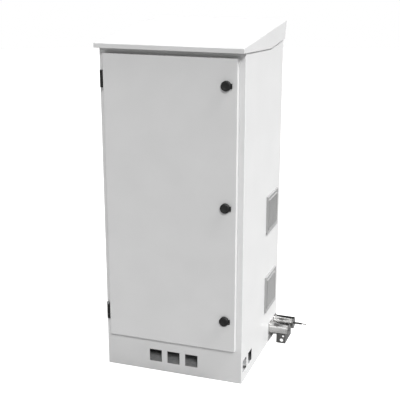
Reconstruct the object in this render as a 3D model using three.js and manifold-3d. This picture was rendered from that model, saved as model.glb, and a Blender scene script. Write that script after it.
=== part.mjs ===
// Roadside utility cabinet: a free-standing sheet-steel enclosure with a sloping rain canopy,
// one hinged front door with three quarter-turn locks, two filter vents, and stainless
// fittings low on the right wall.
//
// Millimetres, +Z up. The origin is the centre of the plinth's underside, the door faces -Y,
// and the vents are on the +X wall. Depths that grow towards the street are negative in Y.

import * as THREE from 'three';
import { mergeVertices } from 'three/addons/utils/BufferGeometryUtils.js';
import Module from 'manifold-3d';

const wasm = await Module();
wasm.setup();

// ---------------------------------------------------------------- driving dimensions

const WIDTH = 600;
const DEPTH = 564;
const BODY_TOP = 1365;
const SHEET = 2;
const FOLD = 4; // outer radius of the body's upright folds
const GAP = 0.3; // between a piece and the neighbour it was cut to fit

const HALF_W = WIDTH / 2;
const FRONT = -DEPTH / 2;
const BACK = DEPTH / 2;

const PLINTH_TOP = 150;
const BASE_FRAME = { height: 33, width: 45, wall: 2.5 };
const BASE_SHEET = 3;
const BASE_HOLE = { width: 55, height: 54, z: 68, pitch: 80 };

const DOOR = { halfWidth: 275, bottom: 151, top: 1336.5, front: FRONT - 25, back: FRONT - 2, fold: 8 };
const APERTURE = { halfWidth: 256, bottom: 170, top: 1317.5, lipHeight: 10 };
const STIFFENER = { offset: 120, brim: 28, crown: 15, depth: 18, sheet: 1.5, span: [230, 1255] };

const ROOF = {
  halfWidth: 304,
  frontY: -322,
  rearY: 317,
  lipBottom: 1358,
  frontTop: 1375.7,
  rearTop: 1431,
  kinkY: 67,
  kinkZ: 1336,
  rearBottomY: 289,
  rearBottomZ: 1354,
};

const HINGE = { x: -284, y: FRONT - 16, length: 68, knuckleR: 7, pinR: 2.4, boreR: 2.55 };
const HINGE_Z = { upper: 1236, lower: 252 };

const LOCK = { x: 232, discR: 19.5, neckR: 10.9, boreR: 7.2, barrelR: 7 };
const CAP_HINGE = { reach: 22.4, eyeR: 2.2, boreR: 1.2, pinR: 1 };
const LOCK_Z = { upper: 1235, middle: 759, lower: 283 };

const VENT = {
  y: 140, half: 83, protrusion: 8.5, edge: 1.6, field: 64, rim: 1.5, crest: 1.8, wallHole: 62.5, slats: 21,
};
const VENT_Z = { upper: 627, lower: 259 };

const FAN = { half: 59.5, depth: 38, boreR: 56, hubR: 21, blades: 7 };

const SLEEVE = { radius: 27, wall: 3, start: HALF_W + 3, boreR: 20 };
const FRONT_SLEEVE = { y: 170, z: 60, end: 386 };
const REAR_SLEEVE = { y: 248, z: 62, end: 388 };
const FOOT = {
  x: [337, 378],
  frontY: 146,
  backY: 259,
  thickness: 3,
  frontTop: 43,
  sideTop: 70,
  holes: [{ at: [361, 14], radius: 8 }, { at: [368, 34], radius: 5 }],
};
const STUD = { radius: 2.6, end: 453, sheathR: 4.2, sheathBoreR: 2.9, sheathEnd: 430 };

// ---------------------------------------------------------------- finishes

const FINISHES = {
  paint: { color: 0xe9e9e9, roughness: 0.45, metalness: 0 },
  blackPlastic: { color: 0x2b2b2b, roughness: 0.5, metalness: 0 },
  greyPlastic: { color: 0xbdbfbe, roughness: 0.55, metalness: 0 },
  rubber: { color: 0x1d1d1d, roughness: 0.9, metalness: 0 },
  foam: { color: 0x8d9088, roughness: 1, metalness: 0 },
  stainless: { color: 0xb9babb, roughness: 0.25, metalness: 1 },
  zinc: { color: 0xa9acae, roughness: 0.4, metalness: 1 },
  brass: { color: 0xc9a050, roughness: 0.35, metalness: 1 },
  redPlastic: { color: 0xb02020, roughness: 0.45, metalness: 0 },
};

// ---------------------------------------------------------------- solid helpers

const X = new THREE.Vector3(1, 0, 0);
const Y = new THREE.Vector3(0, 1, 0);
const Z = new THREE.Vector3(0, 0, 1);

/** A closed three.js geometry as a solid that can be joined and cut. */
function solid(geometry) {
  const bare = geometry.clone();
  bare.deleteAttribute('normal');
  bare.deleteAttribute('uv');
  const merged = mergeVertices(bare, 1e-4);
  const vertProperties = new Float32Array(merged.attributes.position.array);
  const triVerts = new Uint32Array(merged.index.array);
  return new wasm.Manifold(new wasm.Mesh({ numProp: 3, vertProperties, triVerts }));
}

/** A solid's surface as a three.js geometry. */
function surface(body) {
  const mesh = body.getMesh();
  const geometry = new THREE.BufferGeometry();
  geometry.setAttribute('position', new THREE.BufferAttribute(mesh.vertProperties, 3));
  geometry.setIndex(new THREE.BufferAttribute(mesh.triVerts, 1));
  geometry.computeVertexNormals();
  return geometry;
}

/** One named piece of the object. */
function piece(name, body, finish) {
  const mesh = new THREE.Mesh(surface(body), new THREE.MeshStandardMaterial(FINISHES[finish]));
  mesh.name = name;
  return mesh;
}

const join = (first, ...others) => others.reduce((sum, body) => sum.add(body), first);
const cut = (first, ...tools) => tools.reduce((rest, tool) => rest.subtract(tool), first);

/** A block between two limits on each axis. */
function block([x0, x1], [y0, y1], [z0, z1]) {
  const geometry = new THREE.BoxGeometry(x1 - x0, y1 - y0, z1 - z0);
  geometry.translate((x0 + x1) / 2, (y0 + y1) / 2, (z0 + z1) / 2);
  return solid(geometry);
}

/** Turns a geometry made along +Z so that it runs along the named axis, then starts it at `from`. */
function alongAxis(geometry, axis, from, to) {
  const turn = new THREE.Matrix4();
  if (axis === 'x') turn.makeBasis(Y, Z, X).setPosition(from, 0, 0);
  if (axis === 'y') turn.makeBasis(X, Z, Y.clone().negate()).setPosition(0, to, 0);
  if (axis === 'z') turn.setPosition(0, 0, from);
  return geometry.applyMatrix4(turn);
}

/** An outline drawn across an axis (y,z for x; x,z for y; x,y for z) and swept along it. */
function prism(axis, outline, [from, to], curveSegments = 4) {
  const sweep = { depth: to - from, bevelEnabled: false, curveSegments };
  return solid(alongAxis(new THREE.ExtrudeGeometry(outline, sweep), axis, from, to));
}

/** A straight-sided outline through the given corners. */
function polygon(...corners) {
  return new THREE.Shape(corners.map(([u, v]) => new THREE.Vector2(u, v)));
}

/** A rectangle whose corners are quarter circles. */
function roundedRectangle([u0, u1], [v0, v1], r) {
  const shape = new THREE.Shape();
  shape.moveTo(u0 + r, v0);
  shape.absarc(u1 - r, v0 + r, r, -Math.PI / 2, 0, false);
  shape.absarc(u1 - r, v1 - r, r, 0, Math.PI / 2, false);
  shape.absarc(u0 + r, v1 - r, r, Math.PI / 2, Math.PI, false);
  shape.absarc(u0 + r, v0 + r, r, Math.PI, 1.5 * Math.PI, false);
  return shape;
}

/** A round bar along an axis, at (u, v) across it as for a prism; it tapers to `endRadius`. */
function bar(axis, [u, v], radius, [from, to], sides = 20, endRadius = radius) {
  const geometry = new THREE.CylinderGeometry(endRadius, radius, to - from, sides);
  geometry.rotateX(Math.PI / 2);
  geometry.translate(0, 0, (to - from) / 2);
  if (axis === 'y') geometry.rotateX(Math.PI).translate(0, 0, to - from);
  geometry.translate(u, v, 0);
  return solid(alongAxis(geometry, axis, from, to));
}

/** A four-sided frustum along X about (y, z), for bevelled square openings. */
function squareFrustum([y, z], [x0, x1], [half0, half1]) {
  const geometry = new THREE.CylinderGeometry(half1 * Math.SQRT2, half0 * Math.SQRT2, x1 - x0, 4);
  geometry.rotateY(Math.PI / 4);
  geometry.rotateX(Math.PI / 2);
  geometry.translate(y, z, (x1 - x0) / 2);
  return solid(alongAxis(geometry, 'x', x0, x1));
}

/** A square of half-width `half` about (y, z), swept along X. */
const squareAlongX = ([y, z], half, [x0, x1]) => block([x0, x1], [y - half, y + half], [z - half, z + half]);

// ---------------------------------------------------------------- enclosure body

/** Square holes through the plinth: three in front, two near the front of the right side. */
function plinthHoles() {
  const { width, height, z, pitch } = BASE_HOLE;
  const zSpan = [z - height / 2, z + height / 2];
  const frontHoles = [-1, 0, 1].map((step) => {
    const x = step * pitch;
    return block([x - width / 2, x + width / 2], [FRONT - 5, FRONT + 5], zSpan);
  });
  const sideHoles = [-3, -2].map((step) => {
    const y = step * pitch;
    return block([HALF_W - 5, HALF_W + 5], [y - width / 2, y + width / 2], zSpan);
  });
  return [...frontHoles, ...sideHoles];
}

/** The welded shell: sides, back, plinth and front frame, with a raised lip round the doorway. */
function bodyShell() {
  const outer = prism('z', roundedRectangle([-HALF_W, HALF_W], [FRONT, BACK], FOLD), [0, BODY_TOP]);
  const inside = roundedRectangle(
    [-HALF_W + SHEET, HALF_W - SHEET], [FRONT + SHEET, BACK - SHEET], FOLD - SHEET);
  const hollow = prism('z', inside, [-1, BODY_TOP + 1]);
  const { halfWidth: a, bottom, top, lipHeight } = APERTURE;
  const lip = block([-a - SHEET, a + SHEET], [FRONT - lipHeight, FRONT + 1], [bottom - SHEET, top + SHEET]);
  const doorway = block([-a, a], [FRONT - lipHeight - 1, FRONT + 20], [bottom, top]);
  const ventHoles = Object.values(VENT_Z).map((z) =>
    squareAlongX([VENT.y, z], VENT.wallHole, [HALF_W - 5, HALF_W + 5]));
  const sleeveBores = [FRONT_SLEEVE, REAR_SLEEVE].map(({ y, z }) =>
    bar('x', [y, z], SLEEVE.boreR, [HALF_W - 5, HALF_W + 5]));
  return cut(join(cut(outer, hollow), lip), doorway, ...plinthHoles(), ...ventHoles, ...sleeveBores);
}

/** A horizontal sheet that closes the body between its walls. */
function innerSheet([z0, z1], ...tools) {
  const edge = SHEET + GAP;
  const outline = roundedRectangle(
    [-HALF_W + edge, HALF_W - edge], [FRONT + edge, BACK - edge], FOLD - SHEET);
  return cut(prism('z', outline, [z0, z1]), ...tools);
}

/** The frame under the base plate: an open-topped channel round the edge, with one crossing rail. */
function baseFrame() {
  const { height, width, wall } = BASE_FRAME;
  const edge = SHEET + GAP;
  const [ax, ay] = [HALF_W - edge, BACK - edge];
  /** The run of the channel between two faces, each `inset` in from the channel's own side. */
  const run = (inset, [z0, z1]) => {
    const outline = roundedRectangle(
      [-ax + inset, ax - inset], [-ay + inset, ay - inset], FOLD - SHEET);
    const inner = width - inset;
    const ring = cut(
      prism('z', outline, [z0, z1]),
      block([-ax + inner, ax - inner], [-ay + inner, ay - inner], [z0 - 1, z1 + 1]));
    const half = width / 2 - inset;
    return join(ring, block([-ax + width / 2, ax - width / 2], [-half, half], [z0, z1]));
  };
  return cut(run(0, [0, height]), run(wall, [wall, height + 1]));
}

const GLAND_PLATE = { halfX: 130, y0: 40, y1: 190, thickness: 3 };
const GLANDS = { left: -60, right: 60 };
const GLAND_Y = 115;
const GLAND = {
  collarR: 26, collarHeight: 12, domeR: 23, domeTopR: 17, top: 30, neckR: 20, drop: 14, boreR: 13,
};

/** Body, floors and the cable entry between them. */
function enclosure() {
  const { halfX, y0, y1, thickness } = GLAND_PLATE;
  const overlap = 15; // the gland plate's rim on the floor plate
  const entry = (z0, z1) => block([-halfX + overlap, halfX - overlap], [y0 + overlap, y1 - overlap], [z0, z1]);
  const plateTop = PLINTH_TOP + thickness;
  const deck = [BASE_FRAME.height, BASE_FRAME.height + BASE_SHEET];
  const glandPlate = cut(
    block([-halfX, halfX], [y0, y1], [PLINTH_TOP, plateTop]),
    ...Object.values(GLANDS).map((x) => 
      bar('z', [x, GLAND_Y], GLAND.neckR + GAP, [PLINTH_TOP - 1, plateTop + 1])));
  return [
    piece('body_shell', bodyShell(), 'paint'),
    piece('base_frame', baseFrame(), 'paint'),
    piece('base_plate', innerSheet(deck, entry(deck[0] - 1, deck[1] + 1)), 'zinc'),
    piece('floor_plate',
      innerSheet([PLINTH_TOP - SHEET, PLINTH_TOP], entry(PLINTH_TOP - 10, PLINTH_TOP + 10)), 'paint'),
    piece('gland_plate', glandPlate, 'zinc'),
    ...Object.entries(GLANDS).map(([side, x]) => piece(`cable_gland_${side}`, cableGland(x), 'blackPlastic')),
    piece('top_plate',
      prism('z', roundedRectangle([-HALF_W, HALF_W], [FRONT, BACK], FOLD), [BODY_TOP, BODY_TOP + SHEET]),
      'paint'),
  ];
}

/** An open cable gland: six-sided collar on the plate, threaded neck below, dome above. */
function cableGland(x) {
  const at = [x, GLAND_Y];
  const sides = 24;
  const seat = PLINTH_TOP + GLAND_PLATE.thickness;
  const [collarTop, top] = [seat + GLAND.collarHeight, seat + GLAND.top];
  const bottom = PLINTH_TOP - GLAND.drop;
  const collar = bar('z', at, GLAND.collarR, [seat, collarTop], 6);
  const dome = bar('z', at, GLAND.domeR, [collarTop, top], sides, GLAND.domeTopR);
  const neck = bar('z', at, GLAND.neckR, [bottom, seat + 1], sides);
  return cut(join(collar, dome, neck), bar('z', at, GLAND.boreR, [bottom - 1, top + 1], sides));
}

// ---------------------------------------------------------------- rain canopy

const ROOF_SLOPE = (ROOF.rearTop - ROOF.frontTop) / (ROOF.rearY - ROOF.frontY);
const roofTopAt = (y) => ROOF.frontTop + (y - ROOF.frontY) * ROOF_SLOPE;
const roofUndersideAt = (y) => roofTopAt(y) - SHEET * Math.hypot(1, ROOF_SLOPE);

/** The canopy: one sloping sheet with a shallow front lip and deeper side and rear skirts. */
function roofCanopy() {
  const { halfWidth, frontY, rearY, lipBottom, kinkY, kinkZ, rearBottomY, rearBottomZ } = ROOF;
  const outline = polygon(
    [frontY, lipBottom], [kinkY, kinkZ], [rearBottomY, rearBottomZ],
    [rearY, ROOF.rearTop], [frontY, ROOF.frontTop]);
  const lean = (rearY - rearBottomY) / (ROOF.rearTop - rearBottomZ);
  const rearInnerAt = (z) => rearY - SHEET + (z - ROOF.rearTop) * lean;
  const underBottom = 1300;
  const underTop = roofUndersideAt(rearY - SHEET);
  const under = polygon(
    [frontY + SHEET, underBottom], [rearInnerAt(underBottom), underBottom],
    [rearInnerAt(underTop), underTop], [frontY + SHEET, roofUndersideAt(frontY + SHEET)]);
  return cut(
    prism('x', outline, [-halfWidth, halfWidth]),
    prism('x', under, [-halfWidth + SHEET, halfWidth - SHEET]));
}

/** A channel on the top plate that follows the canopy's slope and carries it. */
function roofRail(side) {
  const [offset, flange, halfLength] = [220, 24, 250];
  const x = side * offset;
  const base = BODY_TOP + SHEET;
  const [y0, y1] = [-halfLength, halfLength];
  const topAt = (y) => roofUndersideAt(y) - GAP;
  const web = polygon([y0, base], [y1, base], [y1, topAt(y1)], [y0, topAt(y0)]);
  const topFlange = polygon(
    [y0, topAt(y0) - SHEET], [y1, topAt(y1) - SHEET], [y1, topAt(y1)], [y0, topAt(y0)]);
  return join(
    prism('x', web, [x - SHEET / 2, x + SHEET / 2]),
    prism('x', topFlange, [x - flange / 2, x + flange / 2]),
    block([x - flange / 2, x + flange / 2], [y0, y1], [base, base + SHEET]));
}

function roof() {
  return [
    piece('roof_canopy', roofCanopy(), 'paint'),
    piece('roof_rail_left', roofRail(-1), 'paint'),
    piece('roof_rail_right', roofRail(1), 'paint'),
  ];
}

// ---------------------------------------------------------------- door

/** The door pan: a flat sheet folded back on all four sides, with a narrow inner return. */
function doorPanel() {
  const { halfWidth: w, bottom, top, front, back, fold } = DOOR;
  const cornerR = 1.5;
  const outer = prism('z', roundedRectangle([-w, w], [front, back], cornerR), [bottom, top]);
  const pocket = block([-w + SHEET, w - SHEET], [front + SHEET, back - SHEET], [bottom + SHEET, top - SHEET]);
  const inset = SHEET + fold;
  const mouth = block([-w + inset, w - inset], [back - SHEET - 1, back + 1], [bottom + inset, top - inset]);
  const lockHoles = Object.values(LOCK_Z).map((z) =>
    bar('y', [LOCK.x, z], LOCK.neckR + GAP, [front - 1, front + SHEET + 1]));
  return cut(outer, pocket, mouth, ...lockHoles);
}

/** The seal stuck inside the door: a square ring that the doorway's lip presses into. */
function doorGasket() {
  const { halfWidth: a, bottom, top, lipHeight } = APERTURE;
  const inner = 6;
  const outer = 8;
  const depth = [DOOR.front + SHEET, FRONT - lipHeight - 0.5];
  return cut(
    block([-a - outer, a + outer], depth, [bottom - outer, top + outer]),
    block([-a + inner, a - inner], [depth[0] - 1, depth[1] + 1], [bottom + inner, top - inner]));
}

/** A top-hat channel, upright inside the door, that keeps the large sheet flat. */
function doorStiffener(side) {
  const { offset, brim, crown, depth, sheet, span } = STIFFENER;
  const x = side * offset;
  const face = DOOR.front + SHEET;
  const outer = join(
    block([x - brim, x + brim], [face, face + sheet], span),
    block([x - crown, x + crown], [face, face + depth], span));
  const tunnel = block(
    [x - crown + sheet, x + crown - sheet], [face - 1, face + depth - sheet], [span[0] - 1, span[1] + 1]);
  return cut(outer, tunnel);
}

function door() {
  return [
    piece('door_panel', doorPanel(), 'paint'),
    piece('door_gasket', doorGasket(), 'rubber'),
    piece('door_stiffener_left', doorStiffener(-1), 'paint'),
    piece('door_stiffener_right', doorStiffener(1), 'paint'),
  ];
}

// ---------------------------------------------------------------- hinges

/** The hinge half on the body: the lower knuckle and a plate on the front frame. */
function hingeBodyLeaf(z) {
  const { x, y, length, knuckleR, boreR } = HINGE;
  const half = length / 2;
  const plate = block([x - 13, x + 6.7], [FRONT - 4, FRONT], [z - half, z + half]);
  const neck = block([x - knuckleR, x + knuckleR - 0.3], [y, FRONT], [z - half, z - GAP]);
  const knuckle = bar('z', [x, y], knuckleR, [z - half, z - GAP]);
  return cut(join(plate, neck, knuckle), bar('z', [x, y], boreR, [z - half - 1, z + 1]));
}

/** The hinge half on the door: the upper knuckle and a lug on the door's edge. */
function hingeDoorLeaf(z) {
  const { x, y, length, knuckleR, boreR } = HINGE;
  const top = z + length / 2;
  const lug = block([x, -DOOR.halfWidth], [y - 6, y + 6], [z + GAP, top]);
  const knuckle = bar('z', [x, y], knuckleR, [z + GAP, top]);
  return cut(join(lug, knuckle), bar('z', [x, y], boreR, [z - 1, top + 1]));
}

function hinges() {
  return Object.entries(HINGE_Z).flatMap(([place, z]) => {
    const reach = HINGE.length / 2 - 1;
    return [
      piece(`hinge_${place}_body_leaf`, hingeBodyLeaf(z), 'blackPlastic'),
      piece(`hinge_${place}_door_leaf`, hingeDoorLeaf(z), 'blackPlastic'),
      piece(`hinge_${place}_pin`, bar('z', [HINGE.x, HINGE.y], HINGE.pinR, [z - reach, z + reach]), 'zinc'),
    ];
  });
}

// ---------------------------------------------------------------- quarter-turn locks

const LOCK_FACE = DOOR.front; // the locks stand out from here
const HOUSING_FRONT = LOCK_FACE - 5;
const CAP_FRONT = LOCK_FACE - 14;
const CAP_PIVOT_Y = HOUSING_FRONT - 0.5;
const CAM_FRONT = FRONT + SHEET + 0.5;
const CAM_THICKNESS = 3;

/** The lock's fixed housing: a flange with one hinge eye, and a neck through the door. */
function lockHousing(z) {
  const at = [LOCK.x, z];
  const hingeX = LOCK.x + CAP_HINGE.reach;
  const flange = bar('y', at, LOCK.discR, [HOUSING_FRONT, LOCK_FACE], 32);
  const neck = bar('y', at, LOCK.neckR, [LOCK_FACE - 1, FRONT - 6]);
  const lug = block([LOCK.x + 12, hingeX], [HOUSING_FRONT, LOCK_FACE - 0.5], [z - 5, z + 5]);
  const eye = bar('z', [hingeX, CAP_PIVOT_Y], CAP_HINGE.eyeR, [z - 5, z + 5], 12);
  const eyeBore = bar('z', [hingeX, CAP_PIVOT_Y], CAP_HINGE.boreR, [z - 6, z + 6], 12);
  const bore = bar('y', at, LOCK.boreR, [HOUSING_FRONT - 1, FRONT]);
  return cut(join(flange, neck, lug, eye), bore, eyeBore);
}

/** The six-sided nut that clamps the housing from inside the door. */
function lockNut(z) {
  const at = [LOCK.x, z];
  const seat = DOOR.front + SHEET;
  const bore = bar('y', at, LOCK.neckR + GAP, [seat - 1, seat + 8]);
  return cut(bar('y', at, 15, [seat, seat + 6], 6), bore);
}

/** The turning barrel, with a three-sided key recess in front and a square drive behind. */
function lockBarrel(z) {
  const at = [LOCK.x, z];
  const front = HOUSING_FRONT + 0.5;
  const drive = block([LOCK.x - 4, LOCK.x + 4], [CAM_FRONT - 1, CAM_FRONT + CAM_THICKNESS + 1], [z - 4, z + 4]);
  const recess = bar('y', at, 4.6, [front - 1, front + 9], 3);
  return cut(join(bar('y', at, LOCK.barrelR, [front, CAM_FRONT]), drive), recess);
}

/** The cam on the barrel's drive, pointing up while unlocked, round at both ends. */
function lockCam(z) {
  const depth = [CAM_FRONT + 0.1, CAM_FRONT + CAM_THICKNESS];
  const reach = 36;
  const square = 4.15;
  const arm = join(
    bar('y', [LOCK.x, z], 8, depth),
    bar('y', [LOCK.x, z + reach], 6, depth, 16),
    block([LOCK.x - 6, LOCK.x + 6], depth, [z, z + reach]));
  const hole = block(
    [LOCK.x - square, LOCK.x + square], [CAM_FRONT - 1, CAM_FRONT + 5], [z - square, z + square]);
  return cut(arm, hole);
}

/** The dust cap: a hollow disc with two hinge arms and their pin, swinging on the housing's eye. */
function lockCap(z) {
  const at = [LOCK.x, z];
  const hingeX = LOCK.x + CAP_HINGE.reach;
  const back = HOUSING_FRONT - GAP;
  const disc = join(
    bar('y', at, LOCK.discR, [CAP_FRONT + 2, back], 32),
    bar('y', at, LOCK.discR - 2, [CAP_FRONT, CAP_FRONT + 2], 32, LOCK.discR));
  const arms = [-1, 1].map((side) => {
    const [z0, z1] = [z + side * 7.6 - 2.2, z + side * 7.6 + 2.2];
    const arm = polygon(
      [LOCK.x + 10, CAP_FRONT + 1], [hingeX - 1, CAP_FRONT + 4], [hingeX + CAP_HINGE.eyeR, CAP_FRONT + 7],
      [hingeX + CAP_HINGE.eyeR, CAP_PIVOT_Y], [hingeX, CAP_PIVOT_Y], [hingeX, back], [LOCK.x + 10, back]);
    return join(prism('z', arm, [z0, z1]), bar('z', [hingeX, CAP_PIVOT_Y], CAP_HINGE.eyeR, [z0, z1], 12));
  });
  const web = block([LOCK.x + 10, hingeX - 3.5], [CAP_FRONT + 3, back], [z - 6, z + 6]);
  const pin = bar('z', [hingeX, CAP_PIVOT_Y], CAP_HINGE.pinR, [z - 8, z + 8], 12);
  const hollow = bar('y', at, LOCK.discR - 3, [CAP_FRONT + 4, back + 1]);
  return cut(join(disc, ...arms, web, pin), hollow);
}

function locks() {
  return Object.entries(LOCK_Z).flatMap(([place, z]) => [
    piece(`lock_${place}_housing`, lockHousing(z), 'blackPlastic'),
    piece(`lock_${place}_nut`, lockNut(z), 'zinc'),
    piece(`lock_${place}_barrel`, lockBarrel(z), 'zinc'),
    piece(`lock_${place}_cam`, lockCam(z), 'zinc'),
    piece(`lock_${place}_cap`, lockCap(z), 'blackPlastic'),
  ]);
}

// ---------------------------------------------------------------- filter vents and fan

/** The snap-on cover: a dished square frame, and a raised rim round a field of sloping slats. */
function ventCover(z) {
  const at = [VENT.y, z];
  const back = HALF_W + GAP;
  const front = HALF_W + VENT.protrusion;
  const crest = front + VENT.crest;
  const rim = VENT.field + VENT.rim;
  const dished = cut(
    squareAlongX(at, VENT.half, [back, front]),
    squareFrustum(at, [HALF_W + 3.2, front + 0.01], [rim, VENT.half - VENT.edge]));
  const frame = cut(
    join(dished, squareAlongX(at, rim, [back, crest])),
    squareAlongX(at, VENT.half - 2.5, [back - 1, HALF_W + 2.2]),
    squareAlongX(at, VENT.field, [back, crest + 1]));
  const pitch = (2 * VENT.field) / VENT.slats;
  const [x0, x1] = [HALF_W + 2.3, crest - 0.5];
  const slats = Array.from({ length: VENT.slats }, (_, row) => {
    const top = z + VENT.field - (row + 0.3) * pitch;
    const profile = polygon([x0, top], [x0, top - 1.9], [x1, top - 3.4], [x1, top - 1.5]);
    return prism('y', profile, [VENT.y - VENT.field - 1, VENT.y + VENT.field + 1]);
  });
  return join(frame, ...slats);
}

/** The base frame: a flange on the wall, a square spigot through it and a grid that holds the mat. */
function ventBase(z) {
  const at = [VENT.y, z];
  const inner = VENT.wallHole - 3.5;
  const tube = cut(
    join(
      squareAlongX(at, VENT.half - 3, [HALF_W, HALF_W + 2]),
      squareAlongX(at, VENT.wallHole - GAP, [HALF_W - 40, HALF_W + 1])),
    squareAlongX(at, inner, [HALF_W - 45, HALF_W + 5]));
  const gridDepth = [HALF_W - 24, HALF_W - 20];
  const grid = [-1, 1].flatMap((side) => {
    const place = side * inner / 3;
    return [
      block(gridDepth, [VENT.y + place - 1.5, VENT.y + place + 1.5], [z - inner - 1, z + inner + 1]),
      block(gridDepth, [VENT.y - inner - 1, VENT.y + inner + 1], [z + place - 1.5, z + place + 1.5]),
    ];
  });
  return join(tube, ...grid);
}

const filterMat = (z) => squareAlongX([VENT.y, z], VENT.wallHole - 4, [HALF_W - 19, HALF_W - 2]);

/** The fan's square housing behind the lower vent, with four struts to its motor seat. */
function fanHousing(z, [x0, x1]) {
  const at = [VENT.y, z];
  const shroud = cut(squareAlongX(at, FAN.half, [x0, x1]), bar('x', at, FAN.boreR, [x0 - 1, x1 + 1], 32));
  const strutDepth = [x0, x0 + 4];
  const reach = FAN.boreR + 2;
  const struts = [
    block(strutDepth, [VENT.y - reach, VENT.y + reach], [z - 3, z + 3]),
    block(strutDepth, [VENT.y - 3, VENT.y + 3], [z - reach, z + reach]),
  ];
  return join(shroud, ...struts, bar('x', at, FAN.hubR, strutDepth));
}

/** The impeller: a hub with pitched blades. */
function fanImpeller(z, [x0, x1]) {
  const hub = bar('x', [VENT.y, z], FAN.hubR, [x0, x1]);
  const blades = Array.from({ length: FAN.blades }, (_, i) => {
    const blade = new THREE.BoxGeometry(1.8, 34, FAN.boreR - 3 - FAN.hubR + 2);
    blade.rotateZ(THREE.MathUtils.degToRad(-52));
    blade.translate(0, 0, (FAN.boreR - 3 + FAN.hubR - 2) / 2);
    blade.rotateX((2 * Math.PI * i) / FAN.blades);
    blade.translate((x0 + x1) / 2, VENT.y, z);
    return solid(blade);
  });
  return join(hub, ...blades);
}

function ventilation() {
  const covers = Object.entries(VENT_Z).flatMap(([place, z]) => [
    piece(`vent_${place}_cover`, ventCover(z), 'greyPlastic'),
    piece(`vent_${place}_base`, ventBase(z), 'greyPlastic'),
    piece(`vent_${place}_filter_mat`, filterMat(z), 'foam'),
  ]);
  const fanBack = HALF_W - 40 - GAP;
  const fanFront = fanBack - FAN.depth;
  return [
    ...covers,
    piece('fan_housing', fanHousing(VENT_Z.lower, [fanFront, fanBack]), 'blackPlastic'),
    piece('fan_impeller', fanImpeller(VENT_Z.lower, [fanFront + 5, fanBack - 4]), 'blackPlastic'),
  ];
}

// ---------------------------------------------------------------- stainless side fittings

/** The plate that carries both sleeves on the wall: one ear behind each, joined low down. */
function fittingWallPlate() {
  const outline = polygon(
    [143, 33], [191, 33], [191, 2], [272, 2], [272, 89], [224, 89], [224, 70], [197, 70],
    [197, 87], [143, 87]);
  const bores = [FRONT_SLEEVE, REAR_SLEEVE].map(({ y, z }) =>
    bar('x', [y, z], SLEEVE.boreR, [HALF_W - 1, SLEEVE.start + 1]));
  return cut(prism('x', outline, [HALF_W, SLEEVE.start]), ...bores);
}

/** A thin-walled sleeve standing straight out of the wall plate. */
function sleeve({ y, z, end }) {
  const inner = SLEEVE.radius - SLEEVE.wall;
  return cut(
    bar('x', [y, z], SLEEVE.radius, [SLEEVE.start, end], 32),
    bar('x', [y, z], inner, [SLEEVE.start - 1, end + 1], 32));
}

/** A turned end cap: a rim on the sleeve's end, a spigot inside it, and a bored centre. */
function sleeveCap({ y, z, end }, rimThickness, boreR) {
  const spigotR = SLEEVE.radius - SLEEVE.wall - GAP;
  const rim = bar('x', [y, z], SLEEVE.radius, [end, end + rimThickness], 32, SLEEVE.radius - 1);
  const spigot = bar('x', [y, z], spigotR, [end - 8, end + 0.5], 32);
  return cut(join(rim, spigot), bar('x', [y, z], boreR, [end - 9, end + rimThickness + 1], 24));
}

/** The bent foot: one leg faces front with two bolt holes, the other saddles both sleeves. */
function footBracket() {
  const { x: [x0, x1], frontY, backY, thickness, frontTop, sideTop, holes } = FOOT;
  const saddles = [FRONT_SLEEVE, REAR_SLEEVE].map(({ y, z }) =>
    bar('x', [y, z], SLEEVE.radius + GAP, [x0 - 1, x1 + 1], 32));
  const holeDepth = [frontY - 1, frontY + thickness + 0.5];
  return cut(
    join(
      block([x0, x1], [frontY, frontY + thickness], [0, frontTop]),
      block([x1 - thickness, x1], [frontY, backY], [0, sideTop])),
    ...saddles,
    ...holes.map(({ at, radius }) => bar('y', at, radius, holeDepth, 24)));
}

function sideFittings() {
  const stud = [REAR_SLEEVE.y, REAR_SLEEVE.z];
  const capThickness = 6;
  const capFace = REAR_SLEEVE.end + capThickness;
  const sides = 16;
  const insulator = cut(
    bar('x', stud, STUD.sheathR, [capFace + GAP, STUD.sheathEnd], sides),
    bar('x', stud, STUD.sheathBoreR, [capFace - 1, STUD.sheathEnd + 1], sides));
  return [
    piece('fitting_wall_plate', fittingWallPlate(), 'stainless'),
    piece('fitting_front_sleeve', sleeve(FRONT_SLEEVE), 'stainless'),
    piece('fitting_front_cap', sleeveCap(FRONT_SLEEVE, 3, 8), 'stainless'),
    piece('fitting_rear_sleeve', sleeve(REAR_SLEEVE), 'stainless'),
    piece('fitting_rear_cap', sleeveCap(REAR_SLEEVE, capThickness, STUD.sheathBoreR), 'stainless'),
    piece('fitting_foot_bracket', footBracket(), 'stainless'),
    piece('terminal_stud', bar('x', stud, STUD.radius, [REAR_SLEEVE.end - 20, STUD.end], sides), 'stainless'),
    piece('terminal_stud_insulator', insulator, 'rubber'),
  ];
}

// ---------------------------------------------------------------- electrical equipment

const PANEL_FACE = 240; // front of the mounting plate
const RAIL_FACE = PANEL_FACE - 7.5;
const RAIL_Z = 980;

/** The mounting plate: a sheet held off the back wall by its own folded sides. */
function mountingPlate() {
  const [halfWidth, sheet] = [230, 2.5];
  const [z0, z1] = [220, 1280];
  const inner = halfWidth - sheet;
  return cut(
    block([-halfWidth, halfWidth], [PANEL_FACE, BACK - SHEET - GAP], [z0, z1]),
    block([-inner, inner], [PANEL_FACE + sheet, BACK], [z0 - 1, z1 + 1]));
}

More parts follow.
